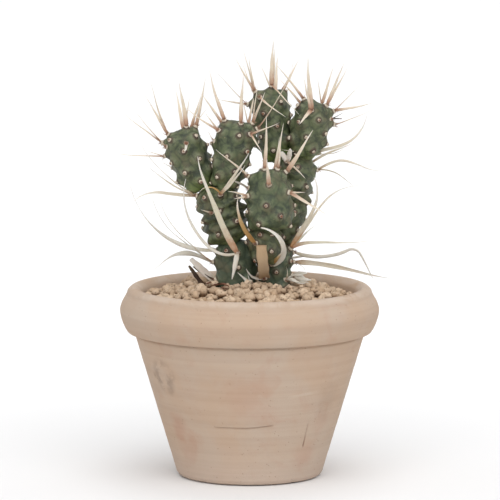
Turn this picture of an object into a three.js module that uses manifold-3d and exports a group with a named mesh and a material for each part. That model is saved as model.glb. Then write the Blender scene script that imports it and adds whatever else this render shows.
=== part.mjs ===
// A paper spine cactus in a rolled-rim terracotta pot.
// Millimetres, +Z up, the front towards -Y. The origin is on the pot's axis, on the surface it stands on.
// The plant is a stack of rounded stem joints. Each bunch of papery spines grows from one woolly pad
// (an areole) on a joint, and is one solid: the pad and the flat, tapering spines joined to it.

import * as THREE from 'three';
import { mergeVertices } from 'three/addons/utils/BufferGeometryUtils.js';
import Module from 'manifold-3d';

const wasm = await Module();
wasm.setup();

// ---- Pot ----
const POT_HEIGHT = 110;
const RIM_RADIUS = 75;
const FOOT_RADIUS = 41.6;
const NECK_RADIUS = 66.9;
const NECK_HEIGHT = 84;
const MOUTH_RADIUS = 61;
const MOUTH_HEIGHT = 102;
const WALL = 8.2;
const FLOOR = 10;
const DRAIN_RADIUS = 8;
const POT_SIDES = 44;

// ---- Filling ----
const GAP = 0.3;
const SOIL_TOP = 98.5;
const GRAVEL_EDGE = 104.6;
const GRAVEL_CROWN = 114.6;
const GRAVEL_SIDES = 30;
const GRAVEL_RINGS = 7;
const GRAVEL_LUMP = 0.7;

// ---- Stem joints and spines ----
const JOINT_SIDES = 16;
const JOINT_RINGS = 10;
const LUMP_HEIGHT = 0.9;
const LUMP_WIDTH = 3.4;
const FOLD_DEPTH = 0.9;
const GOLDEN_TURN = 137.508;
const PAD_RADIUS = 1.5;
const SPINE_SIDES = 4;
const SPINE_THICKNESS = 0.5;
const TIP_SCALE = 0.22;
const CLEAR_OF_FACING = 0.35;

const rad = THREE.MathUtils.degToRad;

// Each joint: where it starts and ends, its three girths (low, middle, high), the number of areoles,
// the turn of the first one, and how many cross folds a shrivelled joint has.
const JOINTS = [
  { name: 'base_left', from: [-7.5, 1, 98.9], to: [-8.5, 0, 138],
    girths: [11.6, 11.8, 10.8], pads: 26, turn: 20 },
  { name: 'base_right', from: [14, 4, 98.9], to: [15, 3, 136],
    girths: [9.5, 9.6, 9.2], pads: 22, turn: 70 },
  { name: 'lower_left', from: [-11, 1, 134], to: [-19.8, 0, 170],
    girths: [11.6, 13, 12], pads: 26, turn: 10, folds: 6 },
  { name: 'upper_left', from: [-26.5, 3, 164.5], to: [-41.2, 1, 201],
    girths: [9.5, 11.2, 10.6], pads: 30, turn: 40 },
  { name: 'centre_left', from: [-14.8, -4, 166], to: [-6, -6, 207],
    girths: [8.2, 10.8, 13], pads: 32, turn: 0 },
  { name: 'bud', from: [9.5, -5, 124.5], to: [8.5, -10, 147],
    girths: [9, 10.4, 9.4], pads: 14, turn: 50 },
  { name: 'front', from: [12.3, -11, 143], to: [10.2, -13, 180],
    girths: [13.6, 13.2, 10], pads: 34, turn: 5 },
  { name: 'right', from: [19, 6, 133.5], to: [28.5, 9, 187],
    girths: [7.4, 11.2, 11.6], pads: 34, turn: 80, folds: 8 },
  { name: 'top', from: [16.5, 12, 179.5], to: [10.4, 15, 223.5],
    girths: [8.4, 11, 11.2], pads: 32, turn: 25 },
  { name: 'top_right', from: [30, 7, 184], to: [39.2, 3, 216.6],
    girths: [9, 11.2, 10.2], pads: 28, turn: 60 },
];

// Each bunch: the joint, its place on it (up the joint from 0 to 1, and degrees round it, where 0 faces
// the front and 90 the right), and its spines. A spine has its length, its width, its headings along the
// way (degrees from straight up, clockwise seen from the front), and its lean towards the front (degrees),
// which may also change along the way.
const BUNCHES = [
  { on: 'upper_left', up: 0.965, round: -60, spines: [
    { length: 31, width: 2.8, headings: [-21, -16], lean: 0 },
    { length: 27, width: 1.5, headings: [-30, -27], lean: 14 }] },
  { on: 'upper_left', up: 0.88, round: -88, spines: [
    { length: 27, width: 2.2, headings: [-54, -49], lean: 8 },
    { length: 26, width: 1.6, headings: [-43, -40], lean: -8 }] },
  { on: 'upper_left', up: 0.97, round: 52, spines: [
    { length: 26, width: 2.8, headings: [-6, -12], lean: 4 }] },
  { on: 'upper_left', up: 0.91, round: 88, spines: [
    { length: 28.5, width: 2, headings: [10, 14], lean: 4 }] },
  { on: 'upper_left', up: 0.7, round: -95, spines: [
    { length: 31, width: 1.4, headings: [-88, -84], lean: 4 },
    { length: 12, width: 1.4, headings: [-76, -72], lean: -16 }] },
  { on: 'centre_left', up: 0.95, round: -58, spines: [
    { length: 30, width: 2.3, headings: [-20, -14], lean: 6 }] },
  { on: 'centre_left', up: 0.965, round: 8, spines: [
    { length: 28.5, width: 2.8, headings: [1, 4], lean: 8 }] },
  { on: 'centre_left', up: 0.97, round: 72, spines: [
    { length: 21.5, width: 2.2, headings: [6, 9], lean: 2 },
    { length: 19, width: 2.2, headings: [21, 23], lean: -10 }] },
  { on: 'centre_left', up: 0.82, round: -52, spines: [
    { length: 24.5, width: 1.3, headings: [-60, -50], lean: 6 },
    { length: 13.5, width: 1.4, headings: [-36, -33], lean: 16 }] },
  { on: 'centre_left', up: 0.92, round: 76, spines: [
    { length: 45.5, width: 2.6, headings: [38, 32, 27, 21, 17], lean: 14 }] },
  { on: 'centre_left', up: 0.86, round: 38, spines: [
    { length: 21.5, width: 1.1, headings: [66, 62], lean: 32 },
    { length: 13, width: 1.7, headings: [150, 146], lean: 30 }] },
  { on: 'top', up: 0.95, round: -58, spines: [
    { length: 20, width: 2.8, headings: [-11, -8], lean: 6 },
    { length: 25, width: 1.6, headings: [-16, -14], lean: -8 },
    { length: 22.5, width: 1.5, headings: [-32, -29], lean: 4 }] },
  { on: 'top', up: 0.88, round: -26, spines: [
    { length: 24, width: 1.3, headings: [132, 118], lean: [54, 20] }] },
  { on: 'top', up: 0.985, round: 30, spines: [
    { length: 26, width: 3, headings: [1, 2], lean: 4 },
    { length: 21, width: 2.2, headings: [8, 2], lean: -10 },
    { length: 32, width: 1.2, headings: [128, 140], lean: [64, 24] }] },
  { on: 'top', up: 0.81, round: -86, spines: [
    { length: 17, width: 1.2, headings: [-86, -76], lean: -6 },
    { length: 26, width: 1.4, headings: [-46, -42], lean: 0 }] },
  { on: 'top_right', up: 0.88, round: -14, spines: [
    { length: 31.5, width: 3.2, headings: [-5, -3], lean: 8 },
    { length: 20, width: 1.6, headings: [-16, -10], lean: 16 },
    { length: 11.5, width: 2.6, headings: [-138, -142], lean: 24 }] },
  { on: 'top_right', up: 0.95, round: -88, spines: [
    { length: 27, width: 1.5, headings: [-38, -38], lean: 4 }] },
  { on: 'top_right', up: 0.97, round: 55, spines: [
    { length: 26, width: 3, headings: [23, 19], lean: 4 },
    { length: 24.5, width: 1.8, headings: [30, 26], lean: -8 }] },
  { on: 'top_right', up: 0.9, round: 90, spines: [
    { length: 22, width: 1.4, headings: [44, 42], lean: 8 },
    { length: 23, width: 1.6, headings: [82, 76], lean: 0 }] },
  { on: 'top_right', up: 0.7, round: 92, spines: [
    { length: 22.5, width: 1.8, headings: [72, 64], lean: 0 }] },
  { on: 'right', up: 0.965, round: 66, spines: [
    { length: 42, width: 1.9, headings: [62, 78, 72, 56, 34, 6], lean: 0 },
    { length: 20.5, width: 1.6, headings: [86, 84, 58], lean: 18 },
    { length: 21.5, width: 1.3, headings: [-76, -76], lean: 34 }] },
  { on: 'right', up: 0.83, round: 95, spines: [
    { length: 38.5, width: 1.4, headings: [56, 70, 104, 112, 92], lean: 0 },
    { length: 24.5, width: 1.4, headings: [84, 104, 130, 134], lean: 16 }] },
  { on: 'right', up: 0.87, round: -30, spines: [
    { length: 7, width: 4.2, headings: [24, 10], lean: 14 },
    { length: 6, width: 3.2, headings: [-34, -26], lean: 16 },
    { length: 16.5, width: 1.7, headings: [128, 136], lean: 30 }] },
  { on: 'front', up: 0.98, round: -16, spines: [
    { length: 30.5, width: 2.8, headings: [3, 4], lean: 4 }] },
  { on: 'front', up: 0.965, round: 56, spines: [
    { length: 26, width: 2.6, headings: [5, 8], lean: 2 },
    { length: 12, width: 1.4, headings: [12, 6], lean: 14 }] },
  { on: 'front', up: 0.9, round: 88, spines: [
    { length: 28.5, width: 2.7, headings: [36, 28], lean: 6 }] },
  { on: 'front', up: 0.79, round: 2, spines: [
    { length: 18.5, width: 2.6, headings: [-5, -3], lean: 30 }] },
  { on: 'front', up: 0.88, round: -80, spines: [
    { length: 24.5, width: 1.4, headings: [-46, -54], lean: 8 },
    { length: 7, width: 1.8, headings: [-38, -34], lean: 24 }] },
  { on: 'front', up: 0.62, round: -58, spines: [
    { length: 11, width: 2, headings: [-64, -88], lean: 0 },
    { length: 7.5, width: 1.5, headings: [-104, -98], lean: 6 }] },
  { on: 'front', up: 0.64, round: 56, spines: [
    { length: 26, width: 2.8, headings: [120, 122], lean: 12 },
    { length: 9, width: 1.2, headings: [88, 88], lean: 14 }] },
  { on: 'lower_left', up: 0.84, round: 8, spines: [
    { length: 31, width: 1.8, headings: [38, 34, 26], lean: 18 },
    { length: 27, width: 1.5, headings: [48, 36, 30], lean: 32 },
    { length: 15.5, width: 1, headings: [-30, -60, -100, -140], lean: 22 }] },
  { on: 'lower_left', up: 0.87, round: -74, spines: [
    { length: 38, width: 1.9, headings: [-88, -82, -80, -108, -138], lean: 12 },
    { length: 50, width: 1.5, headings: [-58, -50, -38, -28], lean: [34, 12] },
    { length: 34, width: 1, headings: [-72, -60, -46], lean: -12 }] },
  { on: 'bud', up: 0.68, round: -26, spines: [
    { length: 30, width: 3, headings: [-38, -36, -24, -8, 12], lean: 12 }] },
  { on: 'base_left', up: 0.81, round: 6, spines: [
    { length: 63, width: 3.7, headings: [-33, -26, -23, -20, -16, -9], lean: 12 },
    { length: 15.5, width: 3, headings: [190, 193], lean: 14 },
    { length: 62, width: 1.8, headings: [-114, -74, -46, -33, -26, -15, -4, 10], lean: 6 }] },
  { on: 'base_left', up: 0.82, round: -72, spines: [
    { length: 66, width: 2.5, headings: [-92, -82, -70, -60, -50, -38, -24, -8], lean: -10 }] },
  { on: 'base_left', up: 0.66, round: -80, spines: [
    { length: 50, width: 2, headings: [-52, -46, -48, -42, -28, -6], lean: 14 },
    { length: 51, width: 1.6, headings: [-56, -56, -50, -32, -24], lean: -12 },
    { length: 43, width: 2.8, headings: [-66, -74, -100, -136, -138], lean: -24 }] },
  { on: 'base_left', up: 0.455, round: -64, spines: [
    { length: 21, width: 4.6, headings: [-50, -42], lean: 18, cut: true },
    { length: 14, width: 2, headings: [-74, -66], lean: 10 }] },
  { on: 'base_right', up: 0.88, round: 64, spines: [
    { length: 46, width: 4.2, headings: [26, 34, 34, 20, -4, -26], lean: 8 },
    { length: 56, width: 1.5, headings: [40, 34, 34, 46, 66, 82], lean: -8 },
    { length: 46, width: 2.8, headings: [64, 88, 90, 84, 78], lean: 2 }] },
  { on: 'base_right', up: 0.8, round: 98, spines: [
    { length: 56, width: 2.1, headings: [112, 100, 88, 78, 62, 146, 150, 150], lean: 2 }] },
  { on: 'base_right', up: 0.67, round: 92, spines: [
    { length: 57, width: 2.8, headings: [92, 98, 102, 109, 104], lean: -10 },
    { length: 10, width: 1, headings: [112, 128, 190], lean: 16 }] },
  { on: 'base_right', up: 0.48, round: 66, spines: [
    { length: 11, width: 3.4, headings: [112, 92], lean: 18 },
    { length: 9, width: 2.8, headings: [64, 88], lean: 24 }] },
  { on: 'base_right', up: 0.455, round: -30, spines: [
    { length: 27, width: 6.3, headings: [-6, -3], lean: [66, 34, 6], cut: true },
    { length: 13, width: 2.2, headings: [14, 8], lean: 26 }] },
  { on: 'base_right', up: 0.68, round: -10, spines: [
    { length: 39, width: 3.2, headings: [78, 42, 8, -24, -56, -86], lean: [52, 36, 20, 8] },
    { length: 17, width: 2.4, headings: [36, 40], lean: [60, 24] }] },
  { on: 'upper_left', up: 0.88, round: 168, spines: [
    { length: 27, width: 2.4, headings: [-14, -12], lean: -34 },
    { length: 20, width: 1.4, headings: [10, 12], lean: -22 }] },
  { on: 'lower_left', up: 0.7, round: 176, spines: [
    { length: 38, width: 2.2, headings: [-34, -26, -12], lean: -38 },
    { length: 22, width: 1.4, headings: [20, 14], lean: -50 }] },
  { on: 'top', up: 0.84, round: 165, spines: [
    { length: 28, width: 2.6, headings: [4, 6], lean: -36 },
    { length: 21, width: 1.5, headings: [-26, -24], lean: -24 }] },
  { on: 'right', up: 0.68, round: 172, spines: [
    { length: 40, width: 2.4, headings: [24, 30, 44], lean: -42 },
    { length: 24, width: 1.5, headings: [-14, -10], lean: -50 }] },
];

// ---- Materials ----
function finish(colour, roughness) {
  return new THREE.MeshStandardMaterial({ color: colour, roughness, metalness: 0 });
}

const terracotta = finish(0xb9a18b, 0.9);
const soil = finish(0x3d2f26, 0.95);
const pumice = finish(0xa98f76, 0.95);
const skin = finish(0x49584a, 0.6);
const papery = finish(0xcfbfa6, 0.7);

// ---- Solids and meshes ----

// The closed geometry as a solid that can be joined and cut.
function toSolid(geometry) {
  geometry.deleteAttribute('normal');
  geometry.deleteAttribute('uv');
  const merged = mergeVertices(geometry);
  return new wasm.Manifold(new wasm.Mesh({
    numProp: 3,
    vertProperties: Float32Array.from(merged.attributes.position.array),
    triVerts: Uint32Array.from(merged.index.array),
  }));
}

function toGeometry(solid) {
  const { vertProperties, triVerts } = solid.getMesh();
  const geometry = new THREE.BufferGeometry();
  geometry.setAttribute('position', new THREE.BufferAttribute(vertProperties, 3));
  geometry.setIndex(new THREE.BufferAttribute(triVerts, 1));
  geometry.computeVertexNormals();
  return geometry;
}

// The largest piece of a solid, without the crumbs that a cut leaves.
function mainPiece(solid) {
  const pieces = solid.decompose();
  pieces.sort((a, b) => b.volume() - a.volume());
  return pieces[0];
}

function meshOf(name, geometry, material) {
  const mesh = new THREE.Mesh(geometry, material);
  mesh.name = name;
  return mesh;
}

// A closed outline of [radius, height] points turned about the vertical axis.
function turned(outline, sides) {
  const points = outline.map(([radius, height]) => new THREE.Vector2(radius, height));
  return new THREE.LatheGeometry(points, sides).rotateX(Math.PI / 2);
}

// ---- Pot ----

// The inner wall's radius at a height: a straight taper to the neck, then a steeper one to the mouth.
function innerRadius(height) {
  const innerNeck = NECK_RADIUS - WALL;
  const innerFoot = FOOT_RADIUS - WALL;
  if (height < NECK_HEIGHT) {
    return THREE.MathUtils.mapLinear(height, FLOOR, NECK_HEIGHT, innerFoot, innerNeck);
  }
  return THREE.MathUtils.mapLinear(height, NECK_HEIGHT, MOUTH_HEIGHT, innerNeck, MOUTH_RADIUS);
}

function potGeometry() {
  const outline = [
    [DRAIN_RADIUS, 0],
    [FOOT_RADIUS - 0.8, 0],
    [FOOT_RADIUS, 1],
    [NECK_RADIUS, NECK_HEIGHT],
    [RIM_RADIUS - 4.2, NECK_HEIGHT],
    [RIM_RADIUS - 2.8, NECK_HEIGHT + 2.6],
    [RIM_RADIUS - 0.7, NECK_HEIGHT + 8],
    [RIM_RADIUS, NECK_HEIGHT + 12.5],
    [RIM_RADIUS - 1, POT_HEIGHT - 9.5],
    [RIM_RADIUS - 3.6, POT_HEIGHT - 5],
    [RIM_RADIUS - 4.5, POT_HEIGHT - 2.2],
    [RIM_RADIUS - 7, POT_HEIGHT],
    [RIM_RADIUS - 10, POT_HEIGHT - 0.8],
    [RIM_RADIUS - 12.6, POT_HEIGHT - 3.4],
    [MOUTH_RADIUS, MOUTH_HEIGHT],
    [innerRadius(NECK_HEIGHT), NECK_HEIGHT],
    [innerRadius(FLOOR), FLOOR],
    [DRAIN_RADIUS, FLOOR],
    [DRAIN_RADIUS, 0],
  ];
  return turned(outline, POT_SIDES);
}

// ---- Filling ----

function soilGeometry() {
  const outline = [
    [0, FLOOR + GAP],
    [innerRadius(FLOOR) - GAP, FLOOR + GAP],
    [innerRadius(NECK_HEIGHT) - GAP, NECK_HEIGHT],
    [innerRadius(SOIL_TOP) - GAP, SOIL_TOP],
    [0, SOIL_TOP],
  ];
  return turned(outline, POT_SIDES);
}

// A mound of gravel: its height falls with the square of the radius, and small waves make it uneven.
function gravelGeometry() {
  const bottom = SOIL_TOP + GAP;
  const reach = innerRadius(GRAVEL_EDGE) - GAP;
  const outline = [[0, bottom], [innerRadius(bottom) - GAP, bottom]];
  for (let ring = 0; ring <= GRAVEL_RINGS; ring += 1) {
    const share = 1 - ring / GRAVEL_RINGS;
    outline.push([reach * share, GRAVEL_CROWN - (GRAVEL_CROWN - GRAVEL_EDGE) * share * share]);
  }
  const geometry = turned(outline, GRAVEL_SIDES);
  const { position } = geometry.attributes;
  for (let i = 0; i < position.count; i += 1) {
    const [x, y, z] = [position.getX(i), position.getY(i), position.getZ(i)];
    const lift = GRAVEL_LUMP * (Math.sin(0.61 * x + 1.3) * Math.cos(0.53 * y) + Math.sin(0.37 * (x - y)));
    if (z > GRAVEL_EDGE + 0.1) {
      position.setZ(i, z + lift);
    }
  }
  return geometry;
}

// ---- Stem joints ----

// The joint's axis, its direction, and the directions that face the front and the right of it.
function jointFrame(joint) {
  const from = new THREE.Vector3(...joint.from);
  const to = new THREE.Vector3(...joint.to);
  const axis = to.clone().sub(from).normalize();
  const front = new THREE.Vector3(0, -1, 0);
  front.addScaledVector(axis, -front.dot(axis)).normalize();
  const right = new THREE.Vector3().crossVectors(axis, front);
  return { from, to, axis, front, right };
}

// The girth a share of the way up: a parabola through the three girths, closed in a blunt, rounded end at
// both ends by the square root of 1 - (2 up - 1)^6.
function girthAt(joint, up) {
  const [low, middle, high] = joint.girths;
  const across = 2 * up - 1;
  const parabola = middle + (high - low) / 2 * across + ((high + low) / 2 - middle) * across * across;
  return parabola * Math.sqrt(Math.max(0, 1 - across ** 6));
}

// The joint's smooth surface, and the way out of it there.
function smoothPoint(joint, up, round) {
  const { from, to, front, right } = joint.frame;
  const radius = girthAt(joint, up);
  const point = from.clone().lerp(to, up);
  point.addScaledVector(front, radius * Math.cos(rad(round)));
  point.addScaledVector(right, radius * Math.sin(rad(round)));
  const core = from.clone().lerp(to, THREE.MathUtils.clamp(up, 0.3, 0.7));
  const outward = point.clone().sub(core).normalize();
  return { point, outward };
}

// The areoles of a joint, each a golden turn on from the last as they climb.
function padCentres(joint) {
  const centres = [];
  for (let i = 0; i < joint.pads; i += 1) {
    centres.push(smoothPoint(joint, (i + 0.5) / joint.pads, joint.turn + i * GOLDEN_TURN).point);
  }
  return centres;
}

// The joint's skin: a low lump under each areole, and cross folds on a shrivelled joint.
function skinPoint(joint, up, round, grow) {
  const { point, outward } = smoothPoint(joint, up, round);
  let rise = grow;
  for (const centre of joint.centres) {
    rise += LUMP_HEIGHT * Math.exp(-centre.distanceToSquared(point) / LUMP_WIDTH ** 2);
  }
  if (joint.folds) {
    const waver = 1.2 * Math.sin(rad(round) + joint.turn);
    rise += FOLD_DEPTH * Math.cos(2 * Math.PI * joint.folds * up + waver) * Math.sin(Math.PI * up);
  }
  return { point: point.addScaledVector(outward, rise), outward };
}

function jointGeometry(joint, grow) {
  const geometry = new THREE.SphereGeometry(1, JOINT_SIDES, JOINT_RINGS);
  const { position, uv } = geometry.attributes;
  for (let i = 0; i < position.count; i += 1) {
    const up = (1 - Math.cos(Math.PI * uv.getY(i))) / 2;
    const column = Math.round((uv.getX(i) * JOINT_SIDES) % JOINT_SIDES);
    const { point } = skinPoint(joint, up, column * 360 / JOINT_SIDES, grow);
    position.setXYZ(i, point.x, point.y, point.z);
  }
  return geometry;
}

// ---- Spines ----

// The value at a share of the way along a list of evenly spaced ones.
function valueAt(values, share) {
  const place = share * (values.length - 1);
  const before = Math.min(Math.floor(place), values.length - 1);
  const after = Math.min(before + 1, values.length - 1);
  return THREE.MathUtils.lerp(values[before], values[after], place - before);
}

// The direction at a share of the spine's length: its headings in turn, leant towards the front.
function spineDirection(spine, share) {
  const heading = rad(valueAt(spine.headings, share));
  const lean = rad(valueAt([spine.lean].flat(), share));
  return new THREE.Vector3(
    Math.sin(heading) * Math.cos(lean),
    -Math.sin(lean),
    Math.cos(heading) * Math.cos(lean),
  );
}

// The way that a spine's flat side faces: out of the joint, or along the Y axis where the spine itself
// turns outwards or is a wide cut one.
function facingOf(spine, outward) {
  const crossings = spine.headings.map((heading, i) => {
    const share = spine.headings.length > 1 ? i / (spine.headings.length - 1) : 0;
    return spineDirection(spine, share).cross(outward).length();
  });
  const faceOut = !spine.cut && Math.min(...crossings) > CLEAR_OF_FACING;
  return faceOut ? outward : new THREE.Vector3(0, 1, 0);
}

// A flat spine: a thin oblong section carried along its path, full width for a third of the way and then
// tapering to its tip. A cut spine keeps its width.
function spineGeometry(root, outward, spine) {
  const steps = spine.headings.length + 1;
  const corner = Math.SQRT2;
  const geometry = new THREE.CylinderGeometry(corner, corner, 1, SPINE_SIDES, steps, false, Math.PI / 4);
  const { position } = geometry.attributes;
  const path = [root.clone()];
  for (let step = 0; step < steps; step += 1) {
    const direction = spineDirection(spine, (step + 0.5) / steps);
    path.push(path[step].clone().addScaledVector(direction, spine.length / steps));
  }
  const facing = facingOf(spine, outward);
  const across = new THREE.Vector3();
  const flat = new THREE.Vector3();
  for (let i = 0; i < position.count; i += 1) {
    const share = position.getY(i) + 0.5;
    const along = spineDirection(spine, share);
    across.crossVectors(along, facing).normalize();
    flat.crossVectors(across, along);
    const taper = spine.cut ? 1 : THREE.MathUtils.lerp(1, TIP_SCALE, Math.max(0, share - 0.33) / 0.67);
    const point = path[Math.round(share * steps)].clone();
    point.addScaledVector(across, position.getX(i) * spine.width / 2 * taper);
    point.addScaledVector(flat, position.getZ(i) * SPINE_THICKNESS / 2 * Math.max(taper, 0.6));
    position.setXYZ(i, point.x, point.y, point.z);
  }
  return geometry;
}

// The areole pad: a small flattened ball that faces outwards.
function padGeometry(root, outward) {
  const geometry = new THREE.SphereGeometry(PAD_RADIUS, 5, 3).scale(1, 0.8, 1);
  const turn = new THREE.Quaternion().setFromUnitVectors(new THREE.Vector3(0, 1, 0), outward);
  return geometry.applyQuaternion(turn).translate(root.x, root.y, root.z);
}

function bunchSolid(bunch, joint, grownJoints) {
  const { point, outward } = skinPoint(joint, bunch.up, bunch.round, 0);
  const root = point.addScaledVector(outward, 0.5 * PAD_RADIUS);
  let solid = toSolid(padGeometry(root, outward));
  for (const spine of bunch.spines) {
    solid = solid.add(toSolid(spineGeometry(root, outward, spine)));
  }
  for (const grown of grownJoints) {
    solid = solid.subtract(grown);
  }
  return mainPiece(solid);
}

// ---- The whole plant in its pot ----

const plant = new THREE.Group();
plant.add(meshOf('pot', potGeometry(), terracotta));
plant.add(meshOf('potting_soil', soilGeometry(), soil));

// Each joint is trimmed where it grows out of the ones below it, so that they meet with a fine gap.
const grownJoints = [];
for (const joint of JOINTS) {
  joint.frame = jointFrame(joint);
  joint.centres = padCentres(joint);
  let solid = toSolid(jointGeometry(joint, 0));
  for (const grown of grownJoints) {
    solid = solid.subtract(grown);
  }
  grownJoints.push(toSolid(jointGeometry(joint, GAP)));
  plant.add(meshOf(`${joint.name}_joint`, toGeometry(mainPiece(solid)), skin));
}

let gravel = toSolid(gravelGeometry());
for (const grown of grownJoints) {
  gravel = gravel.subtract(grown);
}
plant.add(meshOf('gravel', toGeometry(mainPiece(gravel)), pumice));

const bunchCount = {};
for (const bunch of BUNCHES) {
  const joint = JOINTS.find(({ name }) => name === bunch.on);
  bunchCount[bunch.on] = (bunchCount[bunch.on] ?? 0) + 1;
  const name = `${bunch.on}_spines_${bunchCount[bunch.on]}`;
  plant.add(meshOf(name, toGeometry(bunchSolid(bunch, joint, grownJoints)), papery));
}

export default plant;
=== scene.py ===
import math
from collections import namedtuple

import bpy
import numpy as np
from bpy.props import FloatProperty, FloatVectorProperty, IntProperty, PointerProperty
from bpy.types import Operator, Panel, PropertyGroup
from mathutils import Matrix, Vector


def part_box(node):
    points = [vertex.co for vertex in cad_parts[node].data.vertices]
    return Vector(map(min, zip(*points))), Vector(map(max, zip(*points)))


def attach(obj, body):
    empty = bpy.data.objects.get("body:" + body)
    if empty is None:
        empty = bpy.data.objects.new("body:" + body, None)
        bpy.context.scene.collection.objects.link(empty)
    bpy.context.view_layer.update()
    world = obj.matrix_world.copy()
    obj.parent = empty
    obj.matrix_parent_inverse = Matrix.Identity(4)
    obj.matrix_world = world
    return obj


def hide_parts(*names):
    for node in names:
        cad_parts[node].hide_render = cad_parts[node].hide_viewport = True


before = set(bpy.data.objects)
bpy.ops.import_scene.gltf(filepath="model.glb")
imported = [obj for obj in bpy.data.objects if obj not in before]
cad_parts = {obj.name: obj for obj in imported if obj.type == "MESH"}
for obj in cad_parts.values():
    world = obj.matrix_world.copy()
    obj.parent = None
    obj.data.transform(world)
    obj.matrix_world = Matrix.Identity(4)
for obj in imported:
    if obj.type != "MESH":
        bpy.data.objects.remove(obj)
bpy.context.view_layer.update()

# A paper spine cactus in a rolled-rim terracotta pot. Metres, +Z up, the front towards -Y.

bl_info = {
    "name": "Potted paper spine cactus",
    "version": (1, 0, 0),
    "blender": (4, 5, 0),
    "location": "View3D > Sidebar > Cactus",
    "description": "Builds a paper spine cactus in a clay pot around its frame",
    "category": "Add Mesh",
}

POT_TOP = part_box("pot")[1]
SOIL_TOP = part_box("potting_soil")[1].z
GRAVEL_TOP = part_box("gravel")[1]

MM = 0.001
GOLDEN_TURN = math.radians(137.508)
FRONT, BACK, UP = np.array(((0.0, -1.0, 0.0), (0.0, 1.0, 0.0), (0.0, 0.0, 1.0)))
ANY_ANGLE = 6.3

# ---- The plant's plan ----

# A stem joint: its foot and crown, its three girths (low, middle, high), the number of areoles, the turn
# of the first one in degrees, and how many cross folds a shrivelled joint has.
Stem = namedtuple("Stem", "name foot crown girths areoles turn folds")

# A bunch: the joint it grows on, its place there (up the joint from 0 to 1, and degrees round it, where 0
# faces the front and 90 the right), and its spines.
Bunch = namedtuple("Bunch", "on up round spines")

# A spine: its length, its width, its headings along the way (degrees from straight up, clockwise seen from
# the front), its leans towards the front (degrees), its look, and whether its end is cut off square.
Spine = namedtuple("Spine", "length width headings leans look cut", defaults=("dagger", False))

STEMS = (
    Stem("base_left", (-0.0075, 0.001, 0.0989), (-0.0085, 0, 0.138),
         (0.0116, 0.0118, 0.0108), 22, 20, 0),
    Stem("base_right", (0.014, 0.004, 0.0989), (0.015, 0.003, 0.136),
         (0.0095, 0.0096, 0.0092), 19, 70, 0),
    Stem("lower_left", (-0.011, 0.001, 0.134), (-0.0198, 0, 0.17),
         (0.0116, 0.013, 0.012), 22, 10, 6),
    Stem("upper_left", (-0.0265, 0.003, 0.1645), (-0.0412, 0.001, 0.201),
         (0.0095, 0.0112, 0.0106), 26, 40, 0),
    Stem("centre_left", (-0.0148, -0.004, 0.166), (-0.006, -0.006, 0.207),
         (0.0082, 0.0108, 0.013), 26, 0, 0),
    Stem("bud", (0.0095, -0.005, 0.1245), (0.0085, -0.01, 0.147),
         (0.009, 0.0104, 0.0094), 12, 50, 0),
    Stem("front", (0.0123, -0.011, 0.143), (0.0102, -0.013, 0.18),
         (0.0136, 0.0132, 0.01), 28, 5, 0),
    Stem("right", (0.019, 0.006, 0.1335), (0.0285, 0.009, 0.187),
         (0.0074, 0.0112, 0.0116), 28, 80, 8),
    Stem("top", (0.0165, 0.012, 0.1795), (0.0104, 0.015, 0.2235),
         (0.0084, 0.011, 0.0112), 27, 25, 0),
    Stem("top_right", (0.03, 0.007, 0.184), (0.0392, 0.003, 0.2166),
         (0.009, 0.0112, 0.0102), 24, 60, 0),
)

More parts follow.
